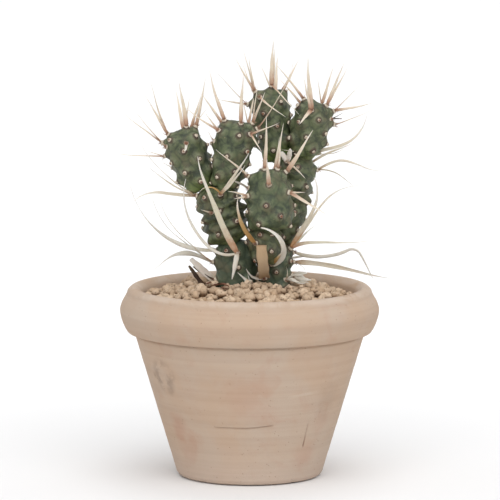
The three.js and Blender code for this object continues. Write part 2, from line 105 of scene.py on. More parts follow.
BUNCHES = (
    Bunch("upper_left", 0.965, -60, (
        Spine(0.031, 0.0028, (-21, -16), (0,)),
        Spine(0.027, 0.0015, (-30, -27), (14,)))),
    Bunch("upper_left", 0.88, -88, (
        Spine(0.027, 0.0022, (-54, -49), (8,)),
        Spine(0.026, 0.0016, (-43, -40), (-8,)))),
    Bunch("upper_left", 0.97, 52, (
        Spine(0.026, 0.0028, (-6, -12), (4,)),)),
    Bunch("upper_left", 0.91, 88, (
        Spine(0.0285, 0.002, (10, 14), (4,)),)),
    Bunch("upper_left", 0.7, -95, (
        Spine(0.031, 0.0014, (-88, -84), (4,)),
        Spine(0.012, 0.0014, (-76, -72), (-16,)))),
    Bunch("centre_left", 0.95, -58, (
        Spine(0.03, 0.0023, (-20, -14), (6,)),)),
    Bunch("centre_left", 0.965, 8, (
        Spine(0.0285, 0.0028, (1, 4), (8,)),)),
    Bunch("centre_left", 0.97, 72, (
        Spine(0.0215, 0.0022, (6, 9), (2,)),
        Spine(0.019, 0.0022, (21, 23), (-10,)))),
    Bunch("centre_left", 0.82, -52, (
        Spine(0.0245, 0.0013, (-60, -50), (6,)),
        Spine(0.0135, 0.0014, (-36, -33), (16,)))),
    Bunch("centre_left", 0.92, 76, (
        Spine(0.0455, 0.0026, (38, 32, 27, 21, 17), (14,), "dagger"),)),
    Bunch("centre_left", 0.86, 38, (
        Spine(0.0215, 0.0011, (66, 62), (32,)),
        Spine(0.013, 0.0017, (150, 146), (30,)))),
    Bunch("top", 0.95, -58, (
        Spine(0.02, 0.0028, (-11, -8), (6,)),
        Spine(0.025, 0.0016, (-16, -14), (-8,)),
        Spine(0.0225, 0.0015, (-32, -29), (4,)))),
    Bunch("top", 0.88, -26, (
        Spine(0.024, 0.0013, (132, 118), (54, 20)),)),
    Bunch("top", 0.985, 30, (
        Spine(0.026, 0.003, (1, 2), (4,)),
        Spine(0.021, 0.0022, (8, 2), (-10,)),
        Spine(0.032, 0.0012, (128, 140), (64, 24)))),
    Bunch("top", 0.81, -86, (
        Spine(0.017, 0.0012, (-86, -76), (-6,)),
        Spine(0.026, 0.0014, (-46, -42), (0,)))),
    Bunch("top_right", 0.88, -14, (
        Spine(0.0315, 0.0032, (-5, -3), (8,)),
        Spine(0.02, 0.0016, (-16, -10), (16,)),
        Spine(0.0115, 0.0026, (-138, -142), (24,)))),
    Bunch("top_right", 0.95, -88, (
        Spine(0.027, 0.0015, (-38, -38), (4,)),)),
    Bunch("top_right", 0.97, 55, (
        Spine(0.026, 0.003, (23, 19), (4,)),
        Spine(0.0245, 0.0018, (30, 26), (-8,)))),
    Bunch("top_right", 0.9, 90, (
        Spine(0.022, 0.0014, (44, 42), (8,)),
        Spine(0.023, 0.0016, (82, 76), (0,)))),
    Bunch("top_right", 0.7, 92, (
        Spine(0.0225, 0.0018, (72, 64), (0,)),)),
    Bunch("right", 0.965, 66, (
        Spine(0.042, 0.0019, (62, 78, 72, 56, 34, 6), (0,), "ribbon"),
        Spine(0.0205, 0.0016, (86, 84, 58), (18,), "ribbon"),
        Spine(0.0215, 0.0013, (-76, -76), (34,), "dagger"))),
    Bunch("right", 0.83, 95, (
        Spine(0.0385, 0.0014, (56, 70, 104, 112, 92), (0,), "ribbon"),
        Spine(0.0245, 0.0014, (84, 104, 130, 134), (16,), "ribbon"))),
    Bunch("right", 0.87, -30, (
        Spine(0.007, 0.0042, (24, 10), (14,), "flap"),
        Spine(0.006, 0.0032, (-34, -26), (16,), "flap"),
        Spine(0.0165, 0.0017, (128, 136), (30,), "dagger"))),
    Bunch("front", 0.98, -16, (
        Spine(0.0305, 0.0028, (3, 4), (4,)),)),
    Bunch("front", 0.965, 56, (
        Spine(0.026, 0.0026, (5, 8), (2,)),
        Spine(0.012, 0.0014, (12, 6), (14,)))),
    Bunch("front", 0.9, 88, (
        Spine(0.0285, 0.0027, (36, 28), (6,)),)),
    Bunch("front", 0.79, 2, (
        Spine(0.0185, 0.0026, (-5, -3), (30,)),)),
    Bunch("front", 0.88, -80, (
        Spine(0.0245, 0.0014, (-46, -54), (8,)),
        Spine(0.007, 0.0018, (-38, -34), (24,)))),
    Bunch("front", 0.62, -58, (
        Spine(0.011, 0.002, (-64, -88), (0,)),
        Spine(0.0075, 0.0015, (-104, -98), (6,)))),
    Bunch("front", 0.64, 56, (
        Spine(0.026, 0.0028, (120, 122), (12,)),
        Spine(0.009, 0.0012, (88, 88), (14,)))),
    Bunch("lower_left", 0.84, 8, (
        Spine(0.031, 0.0018, (38, 34, 26), (18,), "ribbon"),
        Spine(0.027, 0.0015, (48, 36, 30), (32,), "ribbon"),
        Spine(0.0155, 0.001, (-30, -60, -100, -140), (22,), "amber"))),
    Bunch("lower_left", 0.87, -74, (
        Spine(0.038, 0.0019, (-88, -82, -80, -108, -138), (12,), "ribbon"),
        Spine(0.05, 0.0015, (-58, -50, -38, -28), (34, 12), "ribbon"),
        Spine(0.034, 0.001, (-72, -60, -46), (-12,), "ribbon"))),
    Bunch("bud", 0.68, -26, (
        Spine(0.03, 0.003, (-38, -36, -24, -8, 12), (12,), "amber"),)),
    Bunch("base_left", 0.81, 6, (
        Spine(0.063, 0.0037, (-33, -26, -23, -20, -16, -9), (12,), "sheath"),
        Spine(0.0155, 0.003, (190, 193), (14,), "clear"),
        Spine(0.062, 0.0018, (-114, -74, -46, -33, -26, -15, -4, 10), (6,), "clear"))),
    Bunch("base_left", 0.82, -72, (
        Spine(0.066, 0.0025, (-92, -82, -70, -60, -50, -38, -24, -8), (-10,), "clear"),)),
    Bunch("base_left", 0.66, -80, (
        Spine(0.05, 0.002, (-52, -46, -48, -42, -28, -6), (14,), "sheath"),
        Spine(0.051, 0.0016, (-56, -56, -50, -32, -24), (-12,), "clear"),
        Spine(0.043, 0.0028, (-66, -74, -100, -136, -138), (-24,), "clear"))),
    Bunch("base_left", 0.41, -64, (
        Spine(0.0195, 0.0042, (-50, -40), (18,), "flap", True),
        Spine(0.0145, 0.0022, (-66, -46), (10,), "dark"))),
    Bunch("base_right", 0.88, 64, (
        Spine(0.046, 0.0042, (26, 34, 34, 20, -4, -26), (8,), "rust"),
        Spine(0.056, 0.0015, (40, 34, 34, 46, 66, 82), (-8,), "rust"),
        Spine(0.046, 0.0028, (64, 88, 90, 84, 78), (2,), "sheath"))),
    Bunch("base_right", 0.8, 98, (
        Spine(0.056, 0.0021, (112, 100, 88, 78, 62, 146, 150, 150), (2,), "clear"),)),
    Bunch("base_right", 0.67, 92, (
        Spine(0.057, 0.0028, (92, 98, 102, 109, 104), (-10,), "ribbon"),
        Spine(0.01, 0.001, (112, 128, 190), (16,), "clear"))),
    Bunch("base_right", 0.48, 66, (
        Spine(0.011, 0.0034, (112, 92), (18,), "clear"),
        Spine(0.009, 0.0028, (64, 88), (24,), "clear"))),
    Bunch("base_right", 0.455, -30, (
        Spine(0.027, 0.0063, (-6, -3), (66, 34, 6), "tan", True),
        Spine(0.013, 0.0022, (14, 8), (26,), "clear"))),
    Bunch("base_right", 0.68, -10, (
        Spine(0.039, 0.0032, (78, 42, 8, -24, -56, -86), (52, 36, 20, 8), "clear"),
        Spine(0.017, 0.0024, (36, 40), (60, 24), "amber"))),
    Bunch("upper_left", 0.88, 168, (
        Spine(0.027, 0.0024, (-14, -12), (-34,)),
        Spine(0.02, 0.0014, (10, 12), (-22,)))),
    Bunch("lower_left", 0.7, 176, (
        Spine(0.038, 0.0022, (-34, -26, -12), (-38,)),
        Spine(0.022, 0.0014, (20, 14), (-50,)))),
    Bunch("top", 0.84, 165, (
        Spine(0.028, 0.0026, (4, 6), (-36,)),
        Spine(0.021, 0.0015, (-26, -24), (-24,)))),
    Bunch("right", 0.68, 172, (
        Spine(0.04, 0.0024, (24, 30, 44), (-42,)),
        Spine(0.024, 0.0015, (-14, -10), (-50,)))),
)

# Smaller spines that are too fine for the frame, written as the bunches are.
SMALL_BUNCHES = (
    Bunch("upper_left", 0.8, 10, (Spine(0.006, 0.0016, (176, 196, 214), (26,), "clear"),)),
    Bunch("upper_left", 0.84, -70, (Spine(0.008, 0.0006, (-37, -40), (10,), "dagger"),)),
    Bunch("upper_left", 0.93, 120, (
        Spine(0.022, 0.0018, (16, 20), (-24,)),
        Spine(0.017, 0.0012, (40, 44), (-30,)))),
    Bunch("upper_left", 0.9, -140, (Spine(0.021, 0.0018, (-34, -30), (-28,)),)),
    Bunch("centre_left", 0.65, -85, (Spine(0.008, 0.0006, (-30, -26), (8,), "dagger"),)),
    Bunch("centre_left", 0.9, 150, (
        Spine(0.024, 0.0022, (12, 10), (-22,)),
        Spine(0.02, 0.0015, (-12, -16), (-34,)))),
    Bunch("centre_left", 0.88, -130, (Spine(0.022, 0.0018, (-38, -34), (-22,)),)),
    Bunch("top_right", 0.8, 76, (
        Spine(0.007, 0.0008, (63, 60), (8,), "dark"),
        Spine(0.006, 0.0007, (84, 92), (14,), "dark"))),
    Bunch("top_right", 0.92, 160, (
        Spine(0.024, 0.0022, (20, 16), (-20,)),
        Spine(0.018, 0.0014, (-10, -6), (-34,)))),
    Bunch("top_right", 0.86, -120, (Spine(0.02, 0.0015, (-40, -44), (-18,)),)),
    Bunch("top", 0.93, 110, (Spine(0.021, 0.0018, (30, 26), (-14,)),)),
    Bunch("top", 0.9, -130, (Spine(0.022, 0.002, (-26, -22), (-24,)),)),
    Bunch("front", 0.93, 150, (Spine(0.02, 0.0016, (10, 8), (-20,)),)),
    Bunch("right", 0.9, 125, (Spine(0.03, 0.0014, (58, 72, 64), (-26,), "ribbon"),)),
    Bunch("lower_left", 0.6, -30, (Spine(0.007, 0.0013, (-74, -70), (20,)),)),
    Bunch("lower_left", 0.86, -150, (
        Spine(0.034, 0.0018, (-50, -64, -60), (-26,), "ribbon"),
        Spine(0.024, 0.0011, (-24, -10), (-40,), "ribbon"))),
    Bunch("base_left", 0.35, 40, (
        Spine(0.0115, 0.0018, (-50, -44), (24,), "clear"),
        Spine(0.008, 0.0012, (-20, -12), (30,), "clear"))),
    Bunch("base_left", 0.7, 160, (Spine(0.03, 0.002, (-30, -22, -14), (-46,), "sheath"),)),
    Bunch("base_right", 0.66, 150, (
        Spine(0.034, 0.0022, (36, 48, 52), (-44,), "sheath"),
        Spine(0.022, 0.0014, (80, 96), (-40,), "clear"))),
    Bunch("base_right", 0.45, -34, (
        Spine(0.0135, 0.0014, (-104, -74, -40, -20), (20,), "clear"),
        Spine(0.0095, 0.0012, (14, 4), (34,), "clear"))),
    Bunch("front", 0.72, -78, (Spine(0.008, 0.0036, (-50, -74), (0,), "flap"),)),
    Bunch("base_right", 0.42, 44, (
        Spine(0.012, 0.0022, (70, 118, 84), (20,), "clear"),
        Spine(0.013, 0.0009, (40, 70, 120), (26,), "clear"),
        Spine(0.009, 0.0007, (20, -20), (20,), "dagger"))),
)

# Dry scraps on the gravel: where each starts, the way its flat side faces, and its shape.
SCRAPS = (
    ((-0.0270, -0.0030, 0.1112), FRONT, Spine(0.0135, 0.0025, (-36, -34), (6,), "dark")),
    ((-0.0205, -0.0135, 0.1128), UP, Spine(0.009, 0.0024, (80, 96), (10,), "bark")),
    ((-0.0120, -0.0165, 0.1122), UP, Spine(0.007, 0.0020, (-60, -84), (20,), "bark")),
    ((-0.0160, -0.0190, 0.1118), UP, Spine(0.006, 0.0016, (94, 80), (40,), "bark")),
    ((-0.0250, -0.0090, 0.1126), UP, Spine(0.006, 0.0018, (70, 90), (-20,), "bark")),
    ((0.0265, -0.0060, 0.1126), UP, Spine(0.008, 0.0008, (60, 92, 104), (10,), "clear")),
)


# ---- Settings ----


def length(name, description, default):
    """A setting in metres."""
    return FloatProperty(name=name, description=description, default=default, min=0, unit="LENGTH")


def colour(name, description, default):
    """A setting that holds a linear colour."""
    return FloatVectorProperty(
        name=name, description=description, default=default, min=0, max=1, size=3, subtype="COLOR"
    )


def share(name, description, default):
    """A setting between 0 and 1."""
    return FloatProperty(name=name, description=description, default=default, min=0, max=1, subtype="FACTOR")


class PotSettings(PropertyGroup):
    """The clay pot."""

    height: length("Height", "From the surface it stands on to the top of the rim", POT_TOP.z)
    rim_radius: length("Rim radius", "The widest part of the rolled rim", POT_TOP.x)
    foot_radius: length("Foot radius", "The outside of the foot", 41.6 * MM)
    neck_radius: length("Neck radius", "The outside of the wall, just under the rim", 66.9 * MM)
    neck_height: length("Neck height", "Where the rim starts", 84 * MM)
    mouth_radius: length("Mouth radius", "The inside of the rim", 61 * MM)
    wall: length("Wall", "The thickness of the clay", 8.2 * MM)
    floor: length("Floor", "The thickness of the bottom", 10 * MM)
    drain_radius: length("Drain radius", "The hole in the bottom", 8 * MM)
    ring_depth: length("Ring depth", "How deep the throwing rings are", 0.022 * MM)
    clay: colour("Clay", "The warm body of the clay", (0.480, 0.352, 0.258))
    pale_clay: colour("Pale clay", "The clay where lime has bloomed on it", (0.480, 0.378, 0.298))
    pink_clay: colour("Pink clay", "The clay where it is pinker", (0.45, 0.30, 0.22))


class GravelSettings(PropertyGroup):
    """The pumice top dressing."""

    stones: IntProperty(name="Stones", description="How many stones there are", default=980, min=1)
    smallest: length("Smallest", "The smallest stone across", 4.0 * MM)
    largest: length("Largest", "The largest stone across", 7.3 * MM)
    pale: colour("Pale stone", "The palest stones", (0.70, 0.545, 0.40))
    tan: colour("Tan stone", "The darkest stones", (0.48, 0.35, 0.24))
    # This colour is painted shade: it darkens the bed seen in the gaps between the stones.
    gap: colour("Gaps", "The grit between the stones", (0.09, 0.055, 0.035))


class StemSettings(PropertyGroup):
    """The stem joints' skin and areoles."""

    lump_height: length("Tubercle height", "How far the skin rises under an areole", 2.3 * MM)
    lump_width: length("Tubercle width", "How far that rise spreads", 2.9 * MM)
    fold_depth: length("Fold depth", "The cross folds of a shrivelled joint", 0.9 * MM)
    skin: colour("Skin", "The grey-green of the skin", (0.102, 0.122, 0.058))
    # This dark colour serves the dark mottle, and is also laid in the creases between the tubercles as
    # painted shade.
    shade: colour("Creases", "The skin between the tubercles", (0.026, 0.035, 0.02))
    # The bloom colour is partly the waxy grey of the skin and partly a painted highlight on the tubercle
    # tops.
    bloom: colour("Bloom", "The waxy grey on the tubercles", (0.20, 0.21, 0.13))
    blush: colour("Blush", "The purple ring round an areole", (0.06, 0.028, 0.022))
    felt: colour("Felt", "The wool of an areole", (0.68, 0.60, 0.48))
    bristle: colour("Bristles", "The short bristles of an areole", (0.30, 0.16, 0.105))


class SpineSettings(PropertyGroup):
    """The papery spines."""

    thickness: length("Thickness", "The papery blade at its middle", 0.3 * MM)
    cup: share("Cup", "How far the blade curls across, as a share of its width", 0.16)
    pad_radius: length("Pad radius", "The woolly pad under a bunch", 1.6 * MM)
    paper: colour("Paper", "The blade of a spine", (0.72, 0.62, 0.49))
    tip: colour("Tip", "The thin end of a spine", (0.84, 0.78, 0.69))
    foot: colour("Foot", "The foot of a spine", (0.43, 0.25, 0.165))


class StageSettings(PropertyGroup):
    """The camera, the floor and the lights."""

    distance: length("Camera distance", "From the pot's axis to the camera", 3.0)
    aim: length("Camera aim", "The height that the camera looks at", 131 * MM)
    elevation: FloatProperty(
        name="Camera elevation", description="How far the camera looks down",
        default=math.radians(7.6), subtype="ANGLE",
    )
    across: length("View width", "How much of the scene the camera sees across, at the pot", 288.5 * MM)
    floor_colour: colour("Floor", "The pale floor", (0.97, 0.97, 0.975))
    # The floor round the pot is coloured greyer as painted shade, fading out over the grey reach.
    painted_shade_floor: colour("Floor by the pot", "The floor round the pot, a little greyer", (0.85, 0.85, 0.855))
    painted_shade_reach: length("Grey reach", "How far from the pot the floor is greyer", 0.6)
    sky: share("Sky", "How bright the studio is overhead, beside its white walls", 0.62)
    floor_radius: length("Floor radius", "How far the floor reaches", 14.0)


SETTINGS = {
    "cactus_pot": PotSettings,
    "cactus_gravel": GravelSettings,
    "cactus_stem": StemSettings,
    "cactus_spine": SpineSettings,
    "cactus_stage": StageSettings,
}


# ---- Surfaces ----


class Shape:
    """Closed surfaces for one mesh: points, four-sided and three-sided faces, the material of all of them,
    and named numbers kept at every point."""

    def __init__(self, points, quads, triangles, material, **numbers):
        self.points = points
        self.quads = quads
        self.triangles = triangles
        self.materials = [material]
        self.quad_material = np.zeros(len(quads), int)
        self.triangle_material = np.zeros(len(triangles), int)
        self.numbers = {name: np.broadcast_to(value, len(points)) for name, value in numbers.items()}


def joined(shapes):
    """Several shapes as one: their points end to end, with each shape's faces counted on from the last."""
    points = np.concatenate([s.points for s in shapes])
    whole = Shape(points, np.zeros((0, 4), int), np.zeros((0, 3), int), None)
    whole.materials = list(dict.fromkeys(m for s in shapes for m in s.materials))
    start = np.cumsum([0] + [len(s.points) for s in shapes])
    whole.quads = np.concatenate([s.quads + n for s, n in zip(shapes, start)])
    whole.triangles = np.concatenate([s.triangles + n for s, n in zip(shapes, start)])
    slots = [np.array([whole.materials.index(m) for m in s.materials]) for s in shapes]
    whole.quad_material = np.concatenate([k[s.quad_material] for s, k in zip(shapes, slots)])
    whole.triangle_material = np.concatenate([k[s.triangle_material] for s, k in zip(shapes, slots)])
    names = {name for s in shapes for name in s.numbers}
    whole.numbers = {
        name: np.concatenate([s.numbers.get(name, np.zeros(len(s.points))) for s in shapes])
        for name in sorted(names)
    }
    return whole


def tubes(rings, ends, material, **numbers):
    """Closed tubes, all alike in their count of points. rings is (tubes, rows, sides, 3), the rows from one
    end to the other and the sides turning to the left about that way; ends is (tubes, 2, 3), the points
    that close them. A number given for every ring point takes its first and last value at the ends."""
    count, rows, sides = rings.shape[:3]
    each = rows * sides + 2
    points = np.concatenate([rings.reshape(count, -1, 3), ends], axis=1).reshape(-1, 3)
    row, side = np.meshgrid(np.arange(rows - 1), np.arange(sides), indexing="ij")
    after = (side + 1) % sides
    quads = np.stack(
        [row * sides + side, row * sides + after, (row + 1) * sides + after, (row + 1) * sides + side], -1
    ).reshape(-1, 4)
    side = np.arange(sides)
    after = (side + 1) % sides
    last = (rows - 1) * sides
    low = np.stack([np.full(sides, rows * sides), after, side], -1)
    high = np.stack([np.full(sides, rows * sides + 1), last + side, last + after], -1)
    shift = np.arange(count)[:, None, None] * each
    kept = {}
    for name, value in numbers.items():
        value = np.broadcast_to(value, rings.shape[:3]).reshape(count, -1)
        kept[name] = np.concatenate([value, value[:, :1], value[:, -1:]], axis=1).ravel()
    return Shape(
        points, (quads + shift).reshape(-1, 4), (np.concatenate([low, high]) + shift).reshape(-1, 3),
        material, **kept
    )


def add_piece(name, shape):
    """A smooth mesh object of a shape, riding on the root body, with its numbers as attributes."""
    mesh = bpy.data.meshes.new(name)
    mesh.vertices.add(len(shape.points))
    mesh.vertices.foreach_set("co", shape.points.astype(np.float32).ravel())
    corners = np.concatenate([shape.quads.ravel(), shape.triangles.ravel()])
    sizes = np.concatenate([np.full(len(shape.quads), 4), np.full(len(shape.triangles), 3)])
    mesh.loops.add(len(corners))
    mesh.loops.foreach_set("vertex_index", corners.astype(np.int32))
    mesh.polygons.add(len(sizes))
    mesh.polygons.foreach_set("loop_start", np.concatenate([[0], np.cumsum(sizes)[:-1]]).astype(np.int32))
    mesh.polygons.foreach_set("material_index",
                              np.concatenate([shape.quad_material, shape.triangle_material]).astype(np.int32))
    mesh.polygons.foreach_set("use_smooth", np.full(len(sizes), True))
    mesh.update(calc_edges=True)
    for key, value in shape.numbers.items():
        mesh.attributes.new(key, "FLOAT", "POINT").data.foreach_set("value", value.astype(np.float32))
    for material in shape.materials:
        mesh.materials.append(material)
    piece = bpy.data.objects.new(name, mesh)
    bpy.context.scene.collection.objects.link(piece)
    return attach(piece, "root")


def unit(vectors):
    """The vectors at length one."""
    return vectors / np.maximum(np.linalg.norm(vectors, axis=-1, keepdims=True), 1e-12)


def frames_round(ways):
    """Two directions square to each way and to each other: across is the way crossed with the axis it
    leans on least, and over completes a left turn about the way."""
    least = np.eye(3)[np.argmin(np.abs(ways), axis=-1)]
    across = unit(np.cross(ways, least))
    return across, np.cross(ways, across)


def smooth_curve(points, count):
    """A Catmull-Rom curve through the points, with the same number of steps between each pair: each stretch
    is the cubic that leaves and enters its ends along the line between their neighbours."""
    points = np.asarray(points, float)
    padded = np.concatenate([2 * points[:1] - points[1:2], points, 2 * points[-1:] - points[-2:-1]])
    t = (np.arange(count) / count)[None, :, None]
    a, b, c, d = (padded[k:len(points) - 1 + k][:, None] for k in range(4))
    curve = 0.5 * (2 * b + (c - a) * t + (2 * a - 5 * b + 4 * c - d) * t**2 + (3 * b - a - 3 * c + d) * t**3)
    return np.concatenate([curve.reshape(-1, points.shape[1]), points[-1:]])


# ---- Materials ----


class Wire:
    """A number on its way between two nodes. Sums, differences, products and powers add Math nodes."""

    def __init__(self, finish, socket):
        self.finish = finish
        self.socket = socket

    def maths(self, operation, *terms):
        node = self.finish.node("ShaderNodeMath", {"operation": operation}, dict(enumerate(terms)))
        return Wire(self.finish, node.outputs[0])

    def __add__(self, other):
        return self.maths("ADD", self, other)

    def __radd__(self, other):
        return self.maths("ADD", other, self)

    def __sub__(self, other):
        return self.maths("SUBTRACT", self, other)

    def __rsub__(self, other):
        return self.maths("SUBTRACT", other, self)

    def __mul__(self, other):
        return self.maths("MULTIPLY", self, other)

    def __rmul__(self, other):
        return self.maths("MULTIPLY", other, self)

    def __pow__(self, other):
        return self.maths("POWER", self, other)

    def size(self):
        return self.maths("ABSOLUTE", self)


class Finish:
    """A material in the making: its Principled shader, and the nodes that feed it."""

    def __init__(self, name, **plain):
        self.material = bpy.data.materials.new(name)
        self.material.use_nodes = True
        self.tree = self.material.node_tree
        self.tree.nodes.clear()
        sockets = {key.replace("_", " ").title(): value for key, value in plain.items()}
        sockets = {key.replace("Ior", "IOR"): value for key, value in sockets.items()}
        self.shader = self.node("ShaderNodeBsdfPrincipled", {}, sockets)
        self.node("ShaderNodeOutputMaterial", {}, {"Surface": Wire(self, self.shader.outputs[0])})
        self.place = Wire(self, self.node("ShaderNodeTexCoord").outputs["Object"])

    def node(self, kind, settings=None, sockets=None):
        """Adds a node of this kind, with its settings and then its sockets."""
        made = self.tree.nodes.new(kind)
        for key, value in (settings or {}).items():
            setattr(made, key, value)
        for key, value in (sockets or {}).items():
            if isinstance(value, Wire):
                self.tree.links.new(value.socket, made.inputs[key])
            elif made.inputs[key].type == "RGBA":
                made.inputs[key].default_value = (*value, 1)
            else:
                made.inputs[key].default_value = value
        return made

    def noise(self, scale, detail=3, roughness=0.55, place=None, bend=0):
        """Cloudy noise from 0 to 1; scale is in turns a metre."""
        sockets = {"Vector": place or self.place, "Scale": scale, "Detail": detail,
                   "Roughness": roughness, "Distortion": bend}
        return Wire(self, self.node("ShaderNodeTexNoise", {}, sockets).outputs[0])

    def cells(self, scale):
        """The distance to the nearest of scattered points, in cell widths."""
        node = self.node("ShaderNodeTexVoronoi", {}, {"Vector": self.place, "Scale": scale})
        return Wire(self, node.outputs["Distance"])

    def grade(self, value, low, high, start=0, end=1):
        """A smooth step: start below low, end above high."""
        node = self.node("ShaderNodeMapRange", {"interpolation_type": "SMOOTHSTEP"},
                         {0: value, 1: low, 2: high, 3: start, 4: end})
        return Wire(self, node.outputs[0])

    def mix(self, factor, first, second):
        """A colour between two, by the factor."""
        node = self.node("ShaderNodeMix", {"data_type": "RGBA"}, {0: factor, 6: first, 7: second})
        return Wire(self, node.outputs[2])

    def darken(self, tint, factor, colour_in):
        """A colour multiplied by a tint, by the factor."""
        node = self.node("ShaderNodeMix", {"data_type": "RGBA", "blend_type": "MULTIPLY"},
                         {0: factor, 6: colour_in, 7: tint})
        return Wire(self, node.outputs[2])

    def stretched(self, x, y, z):
        """The place with each axis scaled."""
        node = self.node("ShaderNodeVectorMath", {"operation": "MULTIPLY"}, {0: self.place, 1: (x, y, z)})
        return Wire(self, node.outputs[0])

    def axes(self):
        """The place's three numbers."""
        node = self.node("ShaderNodeSeparateXYZ", {}, {0: self.place})
        return [Wire(self, output) for output in node.outputs]

    def distance_to(self, point):
        """How far the place is from a point."""
        node = self.node("ShaderNodeVectorMath", {"operation": "DISTANCE"}, {0: self.place, 1: point})
        return Wire(self, node.outputs["Value"])

    def number(self, name):
        """A number kept at the mesh's points."""
        node = self.node("ShaderNodeAttribute", {"attribute_name": name})
        return Wire(self, node.outputs["Fac"])

    def bump(self, height, distance):
        """Raises the surface by the height times the distance."""
        node = self.node("ShaderNodeBump", {}, {"Height": height, "Distance": distance, "Strength": 1.0})
        self.feed("Normal", Wire(self, node.outputs[0]))

    def feed(self, socket, value):
        """Feeds one of the shader's sockets."""
        self.tree.links.new(value.socket, self.shader.inputs[socket])


# ---- The pot ----


def wall_radius(pot, height):
    """The outside of the wall at a height: a straight taper from the foot to the neck."""
    return np.interp(height, (0, pot.neck_height), (pot.foot_radius, pot.neck_radius))


def pot_outline(pot):
    """The pot's section as (radius, height) points, from the drain hole out under the foot, up the wall, over
    the rolled rim on a smooth curve, and down the inside, and how many of them come before the inside."""
    top, rim, neck = pot.height, pot.rim_radius, pot.neck_height
    edge = 1.2 * MM
    corner = np.linspace(-90, -8, 6) * np.pi / 180
    foot = np.stack([pot.foot_radius - edge + edge * np.cos(corner), edge + edge * np.sin(corner)], -1)
    foot[:, 1] += 0.7 * MM
    heights = np.linspace(2.5 * MM, neck - 1.7 * MM, 92)
    wall = np.stack([wall_radius(pot, heights), heights], -1)
    undercut = pot.neck_radius + np.array([(-0.9, -1.1), (-1.1, -0.4), (-0.2, 0.1), (2.4, 0.15)]) * MM
    undercut[:, 1] += neck - pot.neck_radius
    roll = smooth_curve([
        (rim - 4.5 * MM, neck + 0.2 * MM),
        (rim - 3.9 * MM, neck + 0.9 * MM),
        (rim - 2.5 * MM, neck + 3.4 * MM),
        (rim - 0.7 * MM, neck + 8 * MM),
        (rim, neck + 12.5 * MM),
        (rim - 1.0 * MM, top - 9.5 * MM),
        (rim - 2.9 * MM, top - 6 * MM),
        (rim - 3.8 * MM, top - 4.2 * MM),
        (rim - 4.6 * MM, top - 2 * MM),
        (rim - 6.6 * MM, top - 0.3 * MM),
        (rim - 8.8 * MM, top),
        (rim - 10.8 * MM, top - 1.1 * MM),
        (rim - 12.9 * MM, top - 3.6 * MM),
        (pot.mouth_radius, top - 8 * MM),
    ], 6)
    inner_neck = (pot.neck_radius - pot.wall, neck)
    inner_foot = (pot.foot_radius - pot.wall, pot.floor)
    inside = np.linspace(inner_neck, inner_foot, 10)
    bottom = [(pot.drain_radius, pot.floor), (pot.drain_radius, 0.4 * MM), (pot.drain_radius + 0.4 * MM, 0)]
    under = [
        (pot.foot_radius * 0.6, 0),
        (pot.foot_radius - 3.6 * MM, 0),
        (pot.foot_radius - 3.2 * MM, 0.6 * MM),
    ]
    outside = np.concatenate([under, foot, wall, undercut, roll])
    return np.concatenate([outside, inside, bottom]), len(outside)


def pot_surface(pot, sides, material):
    """The outline turned about the pot's axis. The radius swells and shrinks a little with height, in
    throwing rings: a sum of sines whose turns don't divide each other, each drifting with the angle. The
    whole ring is a little out of round, and the foot is nicked where slow waves run together."""
    outline, outer = pot_outline(pot)
    angle = np.arange(sides) * 2 * np.pi / sides
    radius, angle = np.meshgrid(outline[:, 0], angle, indexing="ij")
    height = np.broadcast_to(outline[:, 1:], radius.shape)
    outside = (np.arange(len(outline)) < outer)[:, None]
    rings = sum(
        depth * np.sin(2 * np.pi * height / (step * MM) + drift * np.sin(angle + drift))
        for step, depth, drift in ((7.3, 0.9, 1.1), (3.7, 0.55, 1.9), (2.3, 0.35, 2.7), (16.1, 1.3, 0.6))
    )
    round_off = 0.22 * MM * np.sin(2 * angle + 0.7) + 0.12 * MM * np.sin(3 * angle + 2.1)
    hollow = np.sin(9 * angle + 1) + np.sin(14 * angle + 4) + np.sin(23 * angle)
    nick = 0.9 * MM * np.clip(hollow - 1.1, 0, 1) * np.exp(-((height - 0.8 * MM) / (1.4 * MM)) ** 2)
    radius = radius + outside * (pot.ring_depth * rings - nick) + round_off * (height > 0.1 * MM)
    points = np.stack([radius * np.sin(angle), -radius * np.cos(angle), height], -1)
    row, side = np.meshgrid(np.arange(len(outline)), np.arange(sides), indexing="ij")
    below = (row + 1) % len(outline)
    after = (side + 1) % sides
    quads = np.stack(
        [row * sides + side, row * sides + after, below * sides + after, below * sides + side], -1
    )
    return Shape(points.reshape(-1, 3), quads.reshape(-1, 4), np.zeros((0, 3), int), material)


# Marks on the clay: where each is round the front (its distance across from the middle), its height, its
# reach, how strong it is, and whether it is a ring.
Mark = namedtuple("Mark", "across height reach strength ring")
GREY_MARKS = (
    Mark(-0.0495, 0.0630, 0.0105, 0.75, True),
    Mark(-0.0450, 0.0545, 0.0035, 0.40, False),
    Mark(-0.0545, 0.0620, 0.0022, 0.50, False),
    Mark(0.0447, 0.0495, 0.0120, 0.22, False),
)
PINK_MARKS = (
    Mark(-0.0395, 0.0320, 0.0085, 0.70, False),
    Mark(-0.0340, 0.0210, 0.0100, 0.40, False),
    Mark(-0.0010, 0.0530, 0.0160, 0.42, False),
    Mark(0.0315, 0.0166, 0.0095, 0.55, False),
    Mark(0.0410, 0.0360, 0.0090, 0.30, False),
    Mark(0.0120, 0.0420, 0.0100, 0.20, False),
)


# The strokes on the front of the clay: the impressed line's height, how far its right end rises, its
# middle across and half its length; where the scratch and the pale streak pass, and how they lean.
LINE_HEIGHT, LINE_RISE, LINE_MIDDLE, LINE_HALF = 35.3 * MM, 1.6 * MM, -3.2 * MM, 17.5 * MM
SCRATCH_ACROSS, SCRATCH_HEIGHT, SCRATCH_LEAN = 32.2 * MM, 30 * MM, 0.22
STREAK_ACROSS, STREAK_HEIGHT, STREAK_LEAN = 18 * MM, 53 * MM, 0.11


